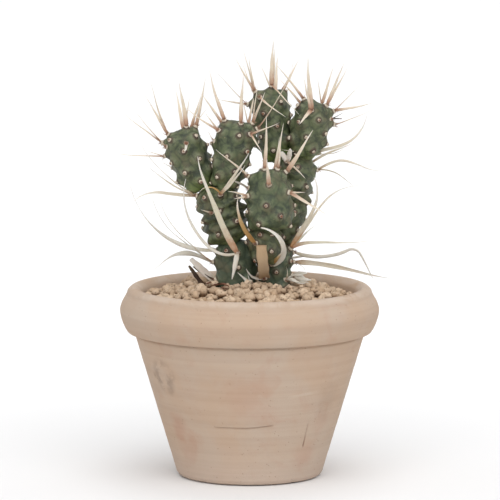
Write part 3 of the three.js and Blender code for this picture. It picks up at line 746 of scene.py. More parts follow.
def mark_mask(finish, marks, pot, edge):
    """How strongly the marks show: each fades over its reach, with an edge that the noise bends."""
    total = 0
    for mark in marks:
        back = -math.sqrt(max(wall_radius(pot, mark.height) ** 2 - mark.across**2, 0))
        away = finish.distance_to((mark.across, back, mark.height)) + (edge - 0.5) * (1.5 * mark.reach)
        if mark.ring:
            off = (away - 0.62 * mark.reach).size()
            spot = finish.grade(off, 0, 0.6 * mark.reach, 1, 0) * finish.grade(edge, 0.38, 0.6)
        else:
            spot = finish.grade(away, 0.15 * mark.reach, 1.25 * mark.reach, 1, 0)
        total = spot * mark.strength + total
    return total


def clay_finish(pot):
    """Unglazed clay: warm, pale and pink patches, fine turned bands, lime bloom, smudges, one scratch, an
    impressed line, and a sandy grain."""
    clay = Finish("terracotta", roughness=0.92, specular_ior_level=0.25)
    x, y, z = clay.axes()
    patches = clay.noise(22, 4, 0.6, bend=0.4)
    blotches = clay.noise(48, 5, 0.65, bend=0.8)
    bands = clay.noise(1, 3, 0.6, place=clay.stretched(7, 7, 420))
    wide_bands = clay.noise(1, 2, 0.5, place=clay.stretched(5, 5, 90))
    grain = clay.noise(1700, 3, 0.7)
    tone = clay.mix(clay.grade(patches, 0.36, 0.66), pot.clay, pot.pale_clay)
    tone = clay.mix(clay.grade(blotches, 0.52, 0.72) * 0.45, tone, pot.pink_clay)
    lime = clay.grade(z + (patches - 0.5) * 0.03, 0.028, 0.0, 0, 0.45)
    tone = clay.mix(lime, tone, (0.56, 0.455, 0.385))
    edge = clay.noise(130, 4, 0.6)
    pink = mark_mask(clay, PINK_MARKS, pot, edge)
    tone = clay.mix(pink * 0.75, tone, (0.44, 0.265, 0.19))
    grey = mark_mask(clay, GREY_MARKS, pot, edge)
    tone = clay.mix(grey * 0.8, tone, (0.235, 0.175, 0.135))
    tone = clay.darken((0.965, 0.96, 0.955), clay.grade(bands, 0.42, 0.62), tone)
    tone = clay.darken((0.965, 0.955, 0.95), clay.grade(wide_bands, 0.4, 0.65), tone)
    specks = clay.grade(clay.cells(520), 0.1, 0.22, 1, 0) * clay.grade(clay.noise(300), 0.55, 0.62)
    tone = clay.darken((0.6, 0.52, 0.46), specks * 0.7, tone)
    front = clay.grade(y, -0.02, -0.03, 0, 1)
    off = x - (SCRATCH_ACROSS + (z - SCRATCH_HEIGHT) * SCRATCH_LEAN)
    scratch = clay.grade(off.size(), 0.1 * MM, 0.6 * MM, 1, 0) * front
    scratch = scratch * clay.grade(z, 0.039, 0.034, 0, 1) * clay.grade(z, 0.0215, 0.0235, 0, 1)
    tone = clay.mix(scratch * clay.grade(z, 0.030, 0.024, 0.3, 1) * 0.75, tone, (0.2, 0.11, 0.07))
    off = z - (LINE_HEIGHT + clay.grade(x, -0.004, 0.018, 0, LINE_RISE))
    line = clay.grade(off.size(), 0.1 * MM, 0.6 * MM, 1, 0) * front
    line = line * clay.grade((x - LINE_MIDDLE).size(), LINE_HALF, LINE_HALF - 2.5 * MM, 0, 1)
    tone = clay.darken((0.66, 0.58, 0.52), line * clay.grade(x, -0.022, 0.004, 0.2, 0.6), tone)
    off = z - STREAK_HEIGHT - (x - STREAK_ACROSS) * STREAK_LEAN
    streak = clay.grade(off.size(), 0.3 * MM, 1.2 * MM, 1, 0) * front
    streak = streak * clay.grade(x, 0.014, 0.024) * clay.grade(x, 0.042, 0.036)
    tone = clay.mix(streak * clay.grade(blotches, 0.4, 0.6) * 0.3, tone, (0.56, 0.47, 0.39))
    worn = clay.grade(z, 0.1055, 0.109, 0, 0.5) * clay.grade(blotches, 0.4, 0.6)
    tone = clay.mix(worn, tone, (0.56, 0.475, 0.40))
    clay.feed("Base Color", tone)
    height = bands * 0.15 + grain * 0.55 - scratch * 1.1 - line * 1.6 - specks * 0.5
    clay.bump(height, 0.25 * MM)
    return clay.material


class CACTUS_OT_pot(Operator):
    """Adds the clay pot"""

    bl_idname = "cactus.pot"
    bl_label = "Pot"

    def execute(self, context):
        pot = context.scene.cactus_pot
        piece = add_piece("clay_pot", pot_surface(pot, 288, clay_finish(pot)))
        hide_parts("pot")
        return {"FINISHED"}


# ---- Soil and gravel ----


def soil_finish():
    """Dark compost: brown crumbs with pale grit."""
    soil = Finish("potting_soil", roughness=0.95, specular_ior_level=0.2)
    crumbs = soil.noise(420, 5, 0.7)
    tone = soil.mix(soil.grade(crumbs, 0.35, 0.65), (0.018, 0.011, 0.008), (0.075, 0.045, 0.028))
    grit = soil.grade(soil.cells(350), 0.12, 0.22, 1, 0)
    soil.feed("Base Color", soil.mix(grit * 0.5, tone, (0.25, 0.19, 0.14)))
    soil.bump(crumbs, 1.2 * MM)
    return soil.material


class CACTUS_OT_soil(Operator):
    """Gives the potting soil its crumbly finish"""

    bl_idname = "cactus.soil"
    bl_label = "Potting soil"

    def execute(self, context):
        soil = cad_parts["potting_soil"]
        soil.data.materials.clear()
        soil.data.materials.append(soil_finish())
        return {"FINISHED"}


# The gravel's height at its edge, and how far the dark bed lies under the stones; the bed's dark colour is
# painted shade for the gaps.
GRAVEL_EDGE = 104.2 * MM
BED_DEPTH = 3.4 * MM


def mound_height(reach, x, y):
    """The gravel's top: it falls with the square of the radius from the crown to the edge, and slow waves
    make it uneven. It is banked a little higher on the left."""
    crown = GRAVEL_TOP.z - 1.6 * MM
    fall = (crown - GRAVEL_EDGE) * (x * x + y * y) / reach**2
    waves = 0.7 * MM * (np.sin(610 * x + 1.3) * np.cos(530 * y) + np.sin(370 * (x - y)))
    return crown - fall + waves - 0.012 * x


def bed_surface(reach, material):
    """The dark bed under the stones, its colour painted shade for the gaps: the mound, a little lower, closed
    underneath by a flat disc, on a polar grid that starts under the middle, runs out along the bottom and
    comes back over the top."""
    out = np.linspace(0.04, 1, 18)
    share_out = np.concatenate([out, out[::-1]])
    on_top = np.arange(len(share_out)) >= len(out)
    angle = np.arange(64) * 2 * np.pi / 64
    radius = (reach * share_out)[:, None]
    x, y = radius * np.sin(angle), -radius * np.cos(angle)
    top = mound_height(reach, x, y) - BED_DEPTH
    z = np.where(on_top[:, None], top, SOIL_TOP + 0.2 * MM)
    ends = np.array([(0, 0, SOIL_TOP + 0.2 * MM), (0, 0, top[-1].mean())])
    return tubes(np.stack([x, y, z], -1)[None], ends[None], material)


def stone_surfaces(gravel, reach, rng, material):
    """The stones. Their places climb a sunflower spiral, jittered, in three layers, and keep clear of the two
    lowest joints. Each is a ball of 6 rings of 8, cut back by random flats (the reach along a way is at most
    the flat's distance over the cosine to it), roughened by waves, stretched and turned at random. low is
    how far a point is below its stone's middle, as a share of the stone's size, plus a half."""
    count, rings, sides, cuts, swells = gravel.stones, 6, 8, 9, 4
    order = rng.permutation(count)
    radius = reach * np.sqrt((order + 0.5) / count) + rng.normal(0, 0.8 * MM, count)
    radius = np.clip(radius, 0, reach - 1.2 * MM)
    angle = order * GOLDEN_TURN + rng.normal(0, 0.03, count)
    x, y = radius * np.sin(angle), -radius * np.cos(angle)
    size = gravel.smallest + (gravel.largest - gravel.smallest) * rng.random(count) ** 1.5
    layer = rng.choice((0.95, 0.5, 0.12), count, p=(0.38, 0.5, 0.12))
    z = mound_height(reach, x, y) - layer * size
    clear = np.ones(count, bool)
    for stem in STEMS[:2]:
        foot, crown = np.array(stem.foot), np.array(stem.crown)
        middle = foot + (crown - foot) * 0.35
        away = np.hypot(x - middle[0], y - middle[1])
        clear &= away > 0.97 * stem.girths[1] + 0.35 * size
    x, y, z, size = x[clear], y[clear], z[clear], size[clear]
    count = len(x)
    tall = (np.arange(rings) + 0.5) / rings * np.pi
    turn = np.arange(sides) * 2 * np.pi / sides
    tall, turn = np.meshgrid(tall, turn, indexing="ij")
    ways = np.stack([np.sin(tall) * np.cos(turn), np.sin(tall) * np.sin(turn), -np.cos(tall)], -1)
    ways = np.concatenate([ways.reshape(-1, 3), [(0, 0, -1), (0, 0, 1)]])
    flats = unit(rng.normal(size=(count, cuts, 3)))
    facing = np.einsum("pk,nfk->npf", ways, flats)
    cut = np.min(rng.uniform(0.5, 0.85, (count, 1, cuts)) / np.maximum(facing, 0.05), axis=-1)
    lumps = rng.normal(0, 2.6, (count, swells, 3))
    start = rng.uniform(0, ANY_ANGLE, (count, 1, swells))
    waves = np.sin(np.einsum("pk,nfk->npf", ways, lumps) + start).sum(-1)
    grown = np.minimum(cut, 1.02) * (1 + 0.05 * waves)
    stretch = rng.uniform(0.72, 1.18, (count, 1, 3))
    spun = np.linalg.qr(rng.normal(size=(count, 3, 3)))[0]
    spun *= np.sign(np.linalg.det(spun))[:, None, None]
    balls = np.einsum("npk,nkj->npj", ways * grown[..., None] * stretch, spun) * 0.62 * size[:, None, None]
    balls += np.stack([x, y, z], -1)[:, None]
    skins, ends = balls[:, :-2], balls[:, -2:]
    # This number also sets the painted shade on each stone's lower part.
    low = 0.5 - (skins[..., 2] - z[:, None]) / size[:, None]
    return tubes(skins.reshape(count, rings, sides, 3), ends, material,
                 stone=rng.random(count)[:, None, None], low=low.reshape(count, rings, sides))


def pumice_finish(gravel):
    """Pumice: each stone its own tan, in patches, with pits, painted shade on the lower part of each stone,
    and its pores darkened as painted shade.
    """
    pumice = Finish("pumice", roughness=0.95, specular_ior_level=0.2)
    pits = pumice.cells(780)
    rough = pumice.noise(900, 5, 0.7)
    patches = pumice.noise(260, 3, 0.6)
    tone = pumice.mix(pumice.number("stone"), gravel.tan, gravel.pale)
    tone = pumice.mix(pumice.grade(patches, 0.35, 0.7) * 0.5, tone, (0.50, 0.34, 0.215))
    # Painted shade: each stone darkens towards its lower part.
    tone = pumice.darken((0.36, 0.28, 0.22), pumice.grade(pumice.number("low"), 0.3, 0.75), tone)
    # Painted shade: the pores in the pits are darkened, as well as sunk by the bump.
    hole = pumice.grade(pits, 0.1, 0.34, 1, 0) * pumice.grade(rough, 0.4, 0.55)
    tone = pumice.mix(hole * 0.6, tone, (0.16, 0.09, 0.05))
    pumice.feed("Base Color", tone)
    pumice.bump(rough * 0.7 - hole, 0.7 * MM)
    return pumice.material


def gap_shade_finish(gravel):
    """The bed in the gaps, coloured dark as painted shade between the stones."""
    grit = Finish("grit", roughness=0.95, specular_ior_level=0.2)
    rough = grit.noise(600, 4, 0.7)
    # Painted shade: the bed is dark, in patches, to stand for the shade between the stones.
    grit.feed("Base Color", grit.mix(grit.grade(rough, 0.4, 0.7), gravel.gap, (0.22, 0.14, 0.085)))
    grit.bump(rough, 1.0 * MM)
    return grit.material


class CACTUS_OT_gravel(Operator):
    """Adds the pumice gravel and the dark bed under it, whose colour is painted shade for the gaps"""

    bl_idname = "cactus.gravel"
    bl_label = "Gravel"

    def execute(self, context):
        gravel = context.scene.cactus_gravel
        reach = GRAVEL_TOP.x
        rng = np.random.default_rng(7)
        bed = bed_surface(reach, gap_shade_finish(gravel))
        stones = stone_surfaces(gravel, reach, rng, pumice_finish(gravel))
        piece = add_piece("pumice_gravel", joined([bed, stones]))
        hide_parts("gravel")
        return {"FINISHED"}


# ---- Stem joints ----


def stem_frame(stem):
    """The joint's foot and crown, and the directions that face the front and the right of its axis."""
    foot, crown = np.array(stem.foot), np.array(stem.crown)
    axis = unit(crown - foot)
    front = unit(FRONT - axis * (FRONT @ axis))
    return foot, crown, front, np.cross(axis, front)


def girth_at(stem, up):
    """A parabola through the three girths, closed in a blunt, rounded end at both ends by the square
    root of 1 - (2 up - 1)^6."""
    low, middle, high = stem.girths
    across = 2 * up - 1
    parabola = middle + (high - low) / 2 * across + ((high + low) / 2 - middle) * across**2
    return parabola * np.sqrt(np.maximum(0, 1 - across**6))


def smooth_points(stem, up, turn):
    """Points of the joint's smooth surface, and the ways out of it there: away from the axis, from no nearer
    its ends than a share of 0.3."""
    foot, crown, front, right = stem_frame(stem)
    up, turn = (value[..., None] for value in np.broadcast_arrays(np.asarray(up, float), turn))
    radius = girth_at(stem, up)
    points = foot + (crown - foot) * up + radius * (np.cos(turn) * front + np.sin(turn) * right)
    return points, unit(points - foot - (crown - foot) * np.clip(up, 0.3, 0.7))


def bunches_on(stem):
    """The bunches that grow on a joint, in order."""
    return [bunch for bunch in BUNCHES if bunch.on == stem.name]


# How near a bunch no bare areole grows, and the share up a joint past which none does.
BUNCH_REACH, CROWN = 4.8 * MM, 0.94


def areole_places(stem):
    """Where the joint's areoles are, as shares up it and angles round it: each bare one a golden turn on from
    the last as they climb, left out at the crown and near a bunch, and then the bunches' own."""
    bunches = bunches_on(stem)
    own = np.array([(bunch.up, math.radians(bunch.round)) for bunch in bunches])
    order = np.arange(stem.areoles)
    up, turn = (order + 0.5) / stem.areoles, math.radians(stem.turn) + order * GOLDEN_TURN
    bare, _ = smooth_points(stem, up, turn)
    taken, _ = smooth_points(stem, own[:, 0], own[:, 1])
    nearest = np.linalg.norm(bare[:, None] - taken, axis=-1).min(axis=1)
    free = (nearest > BUNCH_REACH) & (up < CROWN)
    return up[free], turn[free], own[:, 0], own[:, 1]


def skin_points(stem, up, turn, settings):
    """Points of the skin, the ways out, the distance to the nearest areole, and the crease. Over the smooth
    surface it rises under each areole by a bell curve of the distance, sinks in a crease where two areoles
    are equally near, and is rippled by a product of three sines. On a shrivelled joint it is folded across
    by a cosine of the height, with its hollows deepened."""
    bare_up, bare_turn, own_up, own_turn = areole_places(stem)
    centres, _ = smooth_points(stem, np.concatenate([bare_up, own_up]), np.concatenate([bare_turn, own_turn]))
    points, outward = smooth_points(stem, up, turn)
    away = np.linalg.norm(points[..., None, :] - centres, axis=-1)
    nearest, second = np.moveaxis(np.partition(away, 1, axis=-1)[..., :2], -1, 0)
    between = np.exp(-(((second - nearest) / (1.1 * MM)) ** 2))
    crease = between * np.clip(nearest / (3 * MM), 0, 1)
    bell = np.exp(-((nearest / settings.lump_width) ** 2))
    rise = settings.lump_height * (bell - 0.3) - 0.15 * MM * crease
    if stem.folds:
        waver = 1.2 * np.sin(turn + stem.turn) + 0.5 * np.sin(3 * turn + 1)
        wave = np.cos(2 * np.pi * stem.folds * up + waver)
        fold = wave - 0.5 * np.exp(-(((wave + 1) / 0.35) ** 2))
        rise = rise + settings.fold_depth * fold * np.sin(np.pi * up)
    x, y, z = np.moveaxis(points, -1, 0)
    ripple = np.sin(900 * x + 2.1) * np.sin(820 * y) * np.sin(760 * z + 0.7)
    return points + outward * (rise + 0.1 * MM * ripple)[..., None], outward, nearest, crease


def stem_surface(stem, settings, material):
    """The skin on a grid of heights, closer together at the two ends, and angles."""
    rows, sides = 104, 120
    up = (1 - np.cos(np.pi * (np.arange(rows) + 0.5) / rows)) / 2
    up, turn = np.meshgrid(up, np.arange(sides) * 2 * np.pi / sides, indexing="ij")
    points, _, away, crease = skin_points(stem, up, turn, settings)
    ends, _, _, _ = skin_points(stem, np.array([0.0, 1.0]), np.zeros(2), settings)
    return tubes(points[None], ends[None], material, away=away / MM, crease=crease, up=up)


# How each joint's skin differs: how blue and dark it is with age, how yellow-green its foot is, and how
# brown it is all over.
Age = namedtuple("Age", "old foot_green brown")
AGES = {
    "base_left": Age(0.75, 0.0, 0.1), "base_right": Age(0.85, 0.0, 0.1), "lower_left": Age(0.0, 0.25, 0.15),
    "upper_left": Age(0.0, 0.6, 0.0), "centre_left": Age(0.05, 0.25, 0.0), "bud": Age(0.1, 0.2, 0.5),
    "front": Age(0.15, 0.1, 0.0), "right": Age(0.05, 0.1, 0.15), "top": Age(0.0, 0.85, 0.0),
    "top_right": Age(0.0, 0.3, 0.1),
}


def skin_finish(stem, settings):
    """The skin: grey-green mottled with darker green, waxy bloom on the tubercles with a painted highlight,
    painted shade in the creases, a purple ring round each areole, and a young or an old tint."""
    age = AGES[stem.name]
    skin = Finish(f"{stem.name}_skin", roughness=0.5, specular_ior_level=0.4)
    away, crease, up = skin.number("away"), skin.number("crease"), skin.number("up")
    mottle = skin.noise(230, 5, 0.65, bend=0.5)
    patches = skin.noise(70, 3, 0.55)
    fine = skin.noise(1500, 3, 0.7)
    tone = skin.mix(skin.grade(mottle, 0.36, 0.6), settings.shade, settings.skin)
    tone = skin.mix(skin.grade(patches, 0.42, 0.7) * 0.35, tone, (0.112, 0.145, 0.066))
    tone = skin.mix(age.old * skin.grade(patches, 0.2, 0.7, 0.7, 1), tone, (0.058, 0.086, 0.058))
    # Round each areole, on the tubercle tops: partly waxy bloom, partly a painted highlight.
    bloom = skin.grade(away, 4.4, 2.0, 0, 1) * skin.grade(mottle, 0.36, 0.6)
    tone = skin.mix(bloom * 0.65, tone, settings.bloom)
    tired = skin.grade(skin.noise(95, 3, 0.6, bend=0.6), 0.5, 0.66)
    tone = skin.mix(tired * 0.5, tone, (0.118, 0.098, 0.056))
    tone = skin.mix(skin.grade(up, 0.34, 0.06) * age.foot_green, tone, (0.16, 0.215, 0.05))
    tone = skin.mix(skin.grade(patches, 0.35, 0.7) * age.brown, tone, (0.125, 0.105, 0.045))
    # Painted shade: the creases between the tubercles are darkened.
    tone = skin.mix(crease * 0.5, tone, settings.shade)
    ring = skin.grade(away + (mottle - 0.5) * 1.5, 2.5, 1.4)
    tone = skin.mix(ring * 0.72, tone, settings.blush)
    cork = skin.grade(skin.cells(420), 0.2, 0.1) * skin.grade(skin.noise(150), 0.56, 0.64)
    tone = skin.mix(cork * 0.6, tone, (0.30, 0.22, 0.13))
    skin.feed("Base Color", tone)
    skin.feed("Roughness", 0.44 + 0.22 * fine + 0.1 * bloom)
    skin.bump(mottle * 0.5 + fine * 0.35 + cork * 0.4, 0.35 * MM)
    return skin.material


class CACTUS_OT_stems(Operator):
    """Adds the stem joints"""

    bl_idname = "cactus.stems"
    bl_label = "Stem joints"

    def execute(self, context):
        settings = context.scene.cactus_stem
        for stem in STEMS:
            piece = add_piece(f"{stem.name}_stem", stem_surface(stem, settings, skin_finish(stem, settings)))
            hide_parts(f"{stem.name}_joint")
        return {"FINISHED"}


# ---- Areoles ----


def felt_pads(places, ways, radius, rng, material):
    """Woolly pads: low domes of 4 rings of 9, flattened along the way out, with a hollow in the middle and a
    ragged edge that waves with the angle."""
    count, sides = len(places), 9
    across, over = frames_round(ways)
    tall = np.array((0.18, 0.42, 0.68, 0.88)) * np.pi
    turn = np.arange(sides) * 2 * np.pi / sides
    tall, turn = np.meshgrid(tall, turn, indexing="ij")
    start = rng.uniform(0, ANY_ANGLE, (count, 1, 1))
    ragged = 1 + 0.13 * np.sin(3 * turn + start) + rng.normal(0, 0.05, (count, *turn.shape))
    out = np.sin(tall) * ragged * radius[:, None, None]
    high = -0.62 * np.cos(tall) * radius[:, None, None]
    rings = places[:, None, None] + (
        out[..., None] * (np.cos(turn)[..., None] * across[:, None, None]
                          + np.sin(turn)[..., None] * over[:, None, None])
        + high[..., None] * ways[:, None, None]
    )
    ends = places[:, None] + ways[:, None] * (radius[:, None] * np.array((-0.62, 0.42)))[..., None]
    rust = rng.uniform(0.75, 1.25, (count, 1, 1))
    middle = rust * np.clip(tall / np.pi * 1.35 - 0.25, 0, 1)
    return tubes(rings, ends, material, middle=middle)


def bristle_tufts(places, ways, radius, each, longest, rng, material):
    """Short bristles: straight three-sided spikes that spread from the middle of each pad, each leaning from
    the way out towards its own side by a random amount."""
    count = len(places) * each
    across, over = frames_round(ways)
    across, over, ways, places = (np.repeat(v, each, axis=0) for v in (across, over, ways, places))
    reach = np.repeat(radius, each) * 0.55 * np.sqrt(rng.random(count))
    turn = rng.uniform(0, 2 * np.pi, count)
    side = np.cos(turn)[:, None] * across + np.sin(turn)[:, None] * over
    way = unit(ways + side * rng.uniform(0.15, 0.95, count)[:, None])
    root = places + side * reach[:, None] + ways * 0.25 * np.repeat(radius, each)[:, None]
    size = longest * rng.uniform(0.45, 1, count)
    first, second = frames_round(way)
    angle = np.arange(3) * 2 * np.pi / 3
    circle = np.cos(angle)[:, None] * first[:, None] + np.sin(angle)[:, None] * second[:, None]
    width = 0.075 * MM * np.array((1, 0.7))
    along = size[:, None] * np.array((0, 0.6))
    rings = (
        root[:, None, None]
        + way[:, None, None] * along[..., None, None]
        + circle[:, None] * width[:, None, None]
    )
    ends = np.stack([root, root + way * size[:, None]], axis=1)
    return tubes(rings, ends, material)


def felt_finish(settings):
    """Wool: cream at the rim and rusty in the middle."""
    felt = Finish("felt", roughness=0.95, specular_ior_level=0.1)
    fuzz = felt.noise(2600, 3, 0.7)
    middle = felt.number("middle")
    tone = felt.mix(felt.grade(middle + (fuzz - 0.5) * 0.6, 0.62, 1.0), settings.felt, (0.26, 0.13, 0.085))
    felt.feed("Base Color", tone)
    felt.bump(fuzz, 0.5 * MM)
    return felt.material


def bristle_finish(settings):
    """Bristles: rusty brown, each patch a little lighter or darker."""
    bristle = Finish("bristle", roughness=0.6, specular_ior_level=0.4)
    patches = bristle.noise(900, 2, 0.5)
    bristle.feed("Base Color", bristle.mix(patches, settings.bristle, (0.50, 0.34, 0.24)))
    return bristle.material


class CACTUS_OT_areoles(Operator):
    """Adds the woolly areoles between the spines, with their bristles"""

    bl_idname = "cactus.areoles"
    bl_label = "Areoles"

    def execute(self, context):
        settings = context.scene.cactus_stem
        felt, bristle = felt_finish(settings), bristle_finish(settings)
        rng = np.random.default_rng(11)
        for stem in STEMS:
            up, turn, _, _ = areole_places(stem)
            places, ways, _, _ = skin_points(stem, up, turn, settings)
            radius = rng.uniform(0.9, 1.25, len(places)) * MM
            pads = felt_pads(places, ways, radius, rng, felt)
            tufts = bristle_tufts(places, ways, radius, 6, 1.3 * MM, rng, bristle)
            add_piece(f"{stem.name}_areoles", joined([pads, tufts]))
        return {"FINISHED"}


# ---- Spines ----


def along_list(values, share_along):
    """The value at a share along a list of evenly spaced ones."""
    return np.interp(share_along * (len(values) - 1), np.arange(len(values)), values)


def spine_ways(spine, share_along, sway):
    """The spine's direction at shares of its length: its headings in turn, swayed a little by a slow wave,
    and leant towards the front."""
    heading = np.radians(along_list(spine.headings, share_along) + sway)
    lean = np.radians(along_list(spine.leans, share_along))
    return np.stack([np.sin(heading) * np.cos(lean), -np.sin(lean), np.cos(heading) * np.cos(lean)], -1)


# How a look is shaped: how thin it ends, where it starts to narrow, how much it twists (degrees) and how
# thick it is beside the setting.
Cut = namedtuple("Cut", "tip shoulder twist thick")
CUTS = {
    "dagger": Cut(0.04, 0.12, 14, 1.5),
    "ribbon": Cut(0.12, 0.35, 32, 0.9),
    "sheath": Cut(0.10, 0.30, 24, 1.2),
    "rust": Cut(0.14, 0.35, 22, 1.2),
    "clear": Cut(0.22, 0.45, 46, 0.7),
    "amber": Cut(0.12, 0.30, 20, 1.1),
    "tan": Cut(0.96, 0.90, 0, 1.4),
    "flap": Cut(0.55, 0.60, 0, 1.0),
    "bark": Cut(0.50, 0.40, 40, 2.5),
    "dark": Cut(0.60, 0.50, 10, 1.6),
}


def spine_surface(root, outward, spine, settings, rng, material):
    """One papery spine: a thin cupped section carried along its path. The path adds up the ways; the section
    is an ellipse as thin as paper, bent into a shallow channel; the width opens from a narrow foot, keeps
    to the shoulder and then falls to the tip. The flat side faces out of the joint, or the front where the
    spine itself grows outwards, and turns slowly by the twist."""
    cut = CUTS[spine.look]
    steps, sides = 10 + 7 * len(spine.headings), 10
    s = np.linspace(0, 1, steps + 1)
    phase, swings = rng.uniform(0, ANY_ANGLE), rng.uniform(0.7, 1.4)
    sway = 5 * s * np.sin(2 * np.pi * swings * s + phase) * min(1, spine.length / 0.03)
    middle = spine_ways(spine, (s[1:] + s[:-1]) / 2, (sway[1:] + sway[:-1]) / 2)
    path = root + np.concatenate([[np.zeros(3)], np.cumsum(middle, axis=0)]) * spine.length / steps
    ways = spine_ways(spine, s, sway)
    clear = np.linalg.norm(np.cross(ways, outward), axis=-1).min() > 0.35 and not spine.cut
    across = unit(np.cross(ways, outward if clear else BACK))
    over = np.cross(ways, across)
    twist = np.radians(cut.twist) * rng.choice((-1, 1)) * (s - 0.15)[:, None]
    across, over = (
        across * np.cos(twist) + over * np.sin(twist),
        over * np.cos(twist) - across * np.sin(twist),
    )
    fall = np.clip((s - cut.shoulder) / (1 - cut.shoulder), 0, 1) ** 1.15
    opening = 1 if spine.cut else 0.6 + 0.4 * np.clip(s / 0.06, 0, 1)
    width = spine.width / 2 * opening * (1 - (1 - cut.tip) * fall)
    width = width * (1 + 0.06 * np.sin(2 * np.pi * 3.1 * s + phase))
    thick = settings.thickness / 2 * cut.thick * np.clip(1.25 - s, 0.35, 1)
    thick = np.minimum(thick, 0.8 * width)
    angle = np.arange(sides) * 2 * np.pi / sides
    flat, high = np.cos(angle), np.sin(angle)
    bowl = settings.cup * 2 * (flat**2 - 0.5) * rng.choice((-1, 1))
    rings = (
        path[:, None]
        + across[:, None] * (width[:, None] * flat)[..., None]
        + over[:, None] * (thick[:, None] * high + width[:, None] * bowl)[..., None]
    )
    past = 0.1 * MM if spine.cut else width[-1] * 0.8
    ends = np.stack([path[0] - ways[0] * 0.1 * MM, path[-1] + ways[-1] * past])
    return tubes(
        rings[None], ends[None], material,
        along=np.broadcast_to(s[:, None], rings.shape[:2])[None],
        side=np.broadcast_to(flat * spine.width / 2 / MM, rings.shape[:2])[None],
        span=np.broadcast_to((s * spine.length / MM)[:, None], rings.shape[:2])[None],
    )


# The colours of each look: its foot, its blade and its tip, how far up the foot's colour reaches, and how
# strongly the fibres show.
Paper = namedtuple("Paper", "foot blade tip reach fibres")


def papers(settings):
    """The colours of the looks."""
    foot, paper, tip = settings.foot, settings.paper, settings.tip
    return {
        "dagger": Paper(foot, paper, tip, 0.42, 0.5),
        "ribbon": Paper((0.40, 0.26, 0.15), (0.66, 0.59, 0.47), (0.80, 0.77, 0.71), 0.2, 0.6),
        "sheath": Paper((0.44, 0.23, 0.13), (0.64, 0.59, 0.46), (0.78, 0.75, 0.68), 0.3, 0.7),
        "rust": Paper((0.44, 0.20, 0.06), (0.66, 0.59, 0.47), (0.79, 0.76, 0.70), 0.32, 1.0),
        "clear": Paper((0.58, 0.52, 0.41), (0.68, 0.64, 0.56), (0.74, 0.71, 0.65), 0.2, 0.7),
        "amber": Paper((0.36, 0.19, 0.06), (0.48, 0.31, 0.13), (0.76, 0.71, 0.62), 0.6, 1.0),
        "tan": Paper((0.50, 0.35, 0.21), (0.55, 0.42, 0.28), (0.52, 0.37, 0.23), 0.3, 1.0),
        "flap": Paper((0.55, 0.46, 0.35), (0.70, 0.64, 0.57), (0.76, 0.72, 0.66), 0.25, 1.0),
        "bark": Paper((0.16, 0.07, 0.045), (0.20, 0.09, 0.055), (0.12, 0.06, 0.04), 0.3, 1.0),
        "dark": Paper((0.10, 0.06, 0.04), (0.05, 0.03, 0.022), (0.12, 0.08, 0.05), 0.3, 0.8),
    }


def paper_finish(look, paper):
    """Dry paper: the foot's colour fades into the blade's and then the tip's, with fine fibres along it, and
    stains between them."""
    blade = Finish(f"{look}_paper", roughness=0.62, specular_ior_level=0.3, subsurface_weight=0.12,
                   subsurface_radius=(0.0012, 0.0008, 0.0005))
    along, side, span = blade.number("along"), blade.number("side"), blade.number("span")
    run = Wire(blade, blade.node("ShaderNodeCombineXYZ", {}, {0: side, 1: span * 0.12, 2: 0.0}).outputs[0])
    fibres = blade.noise(7, 3, 0.7, place=run)
    stains = blade.noise(240, 4, 0.65)
    blur = (stains - 0.5) * 0.35
    tone = blade.mix(blade.grade(along + blur, 0.0, paper.reach), paper.foot, paper.blade)
    tone = blade.mix(blade.grade(along + blur * 0.5, 0.45, 1.0), tone, paper.tip)
    tone = blade.darken((0.66, 0.56, 0.44), blade.grade(fibres, 0.5, 0.75) * (0.5 * paper.fibres), tone)
    tone = blade.darken((0.78, 0.66, 0.56), blade.grade(stains, 0.55, 0.8) * 0.5, tone)
    blade.feed("Base Color", tone)
    blade.bump(fibres, 0.25 * MM)
    return blade.material


def bunch_shapes(bunch, stem, stems, spines, rng, felt, bristle, paper):
    """The woolly pad of a bunch, its bristles and its spines, all from one place on the skin."""
    up, turn = np.array([[bunch.up], [math.radians(bunch.round)]])
    place, outward, _, _ = skin_points(stem, up, turn, stems)
    radius = np.array([spines.pad_radius])
    shapes = [
        felt_pads(place, outward, radius, rng, felt),
        bristle_tufts(place, outward, radius, 34, 2.9 * MM, rng, bristle),
    ]
    root = place[0] + outward[0] * 0.35 * spines.pad_radius
    for spine in bunch.spines:
        shapes.append(spine_surface(root, outward[0], spine, spines, rng, paper[spine.look]))
    return shapes


class CACTUS_OT_spines(Operator):
    """Adds the bunches of papery spines"""

    bl_idname = "cactus.spines"
    bl_label = "Papery spines"

    def execute(self, context):
        stems, spines = context.scene.cactus_stem, context.scene.cactus_spine
        felt, bristle = felt_finish(stems), bristle_finish(stems)
        paper = {look: paper_finish(look, colours) for look, colours in papers(spines).items()}
        rng = np.random.default_rng(23)
        for stem in STEMS:
            for number, bunch in enumerate(bunches_on(stem), 1):
                shapes = bunch_shapes(bunch, stem, stems, spines, rng, felt, bristle, paper)
                piece = add_piece(f"{stem.name}_bunch_{number}", joined(shapes))
                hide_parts(f"{stem.name}_spines_{number}")
            small = [bunch for bunch in SMALL_BUNCHES if bunch.on == stem.name]
            for number, bunch in enumerate(small, 1):
                shapes = bunch_shapes(bunch, stem, stems, spines, rng, felt, bristle, paper)
                add_piece(f"{stem.name}_small_bunch_{number}", joined(shapes))
        scraps = [spine_surface(np.array(place), facing, scrap, spines, rng, paper[scrap.look])
                  for place, facing, scrap in SCRAPS]
        add_piece("dry_scraps", joined(scraps))
        return {"FINISHED"}


# ---- Stage ----


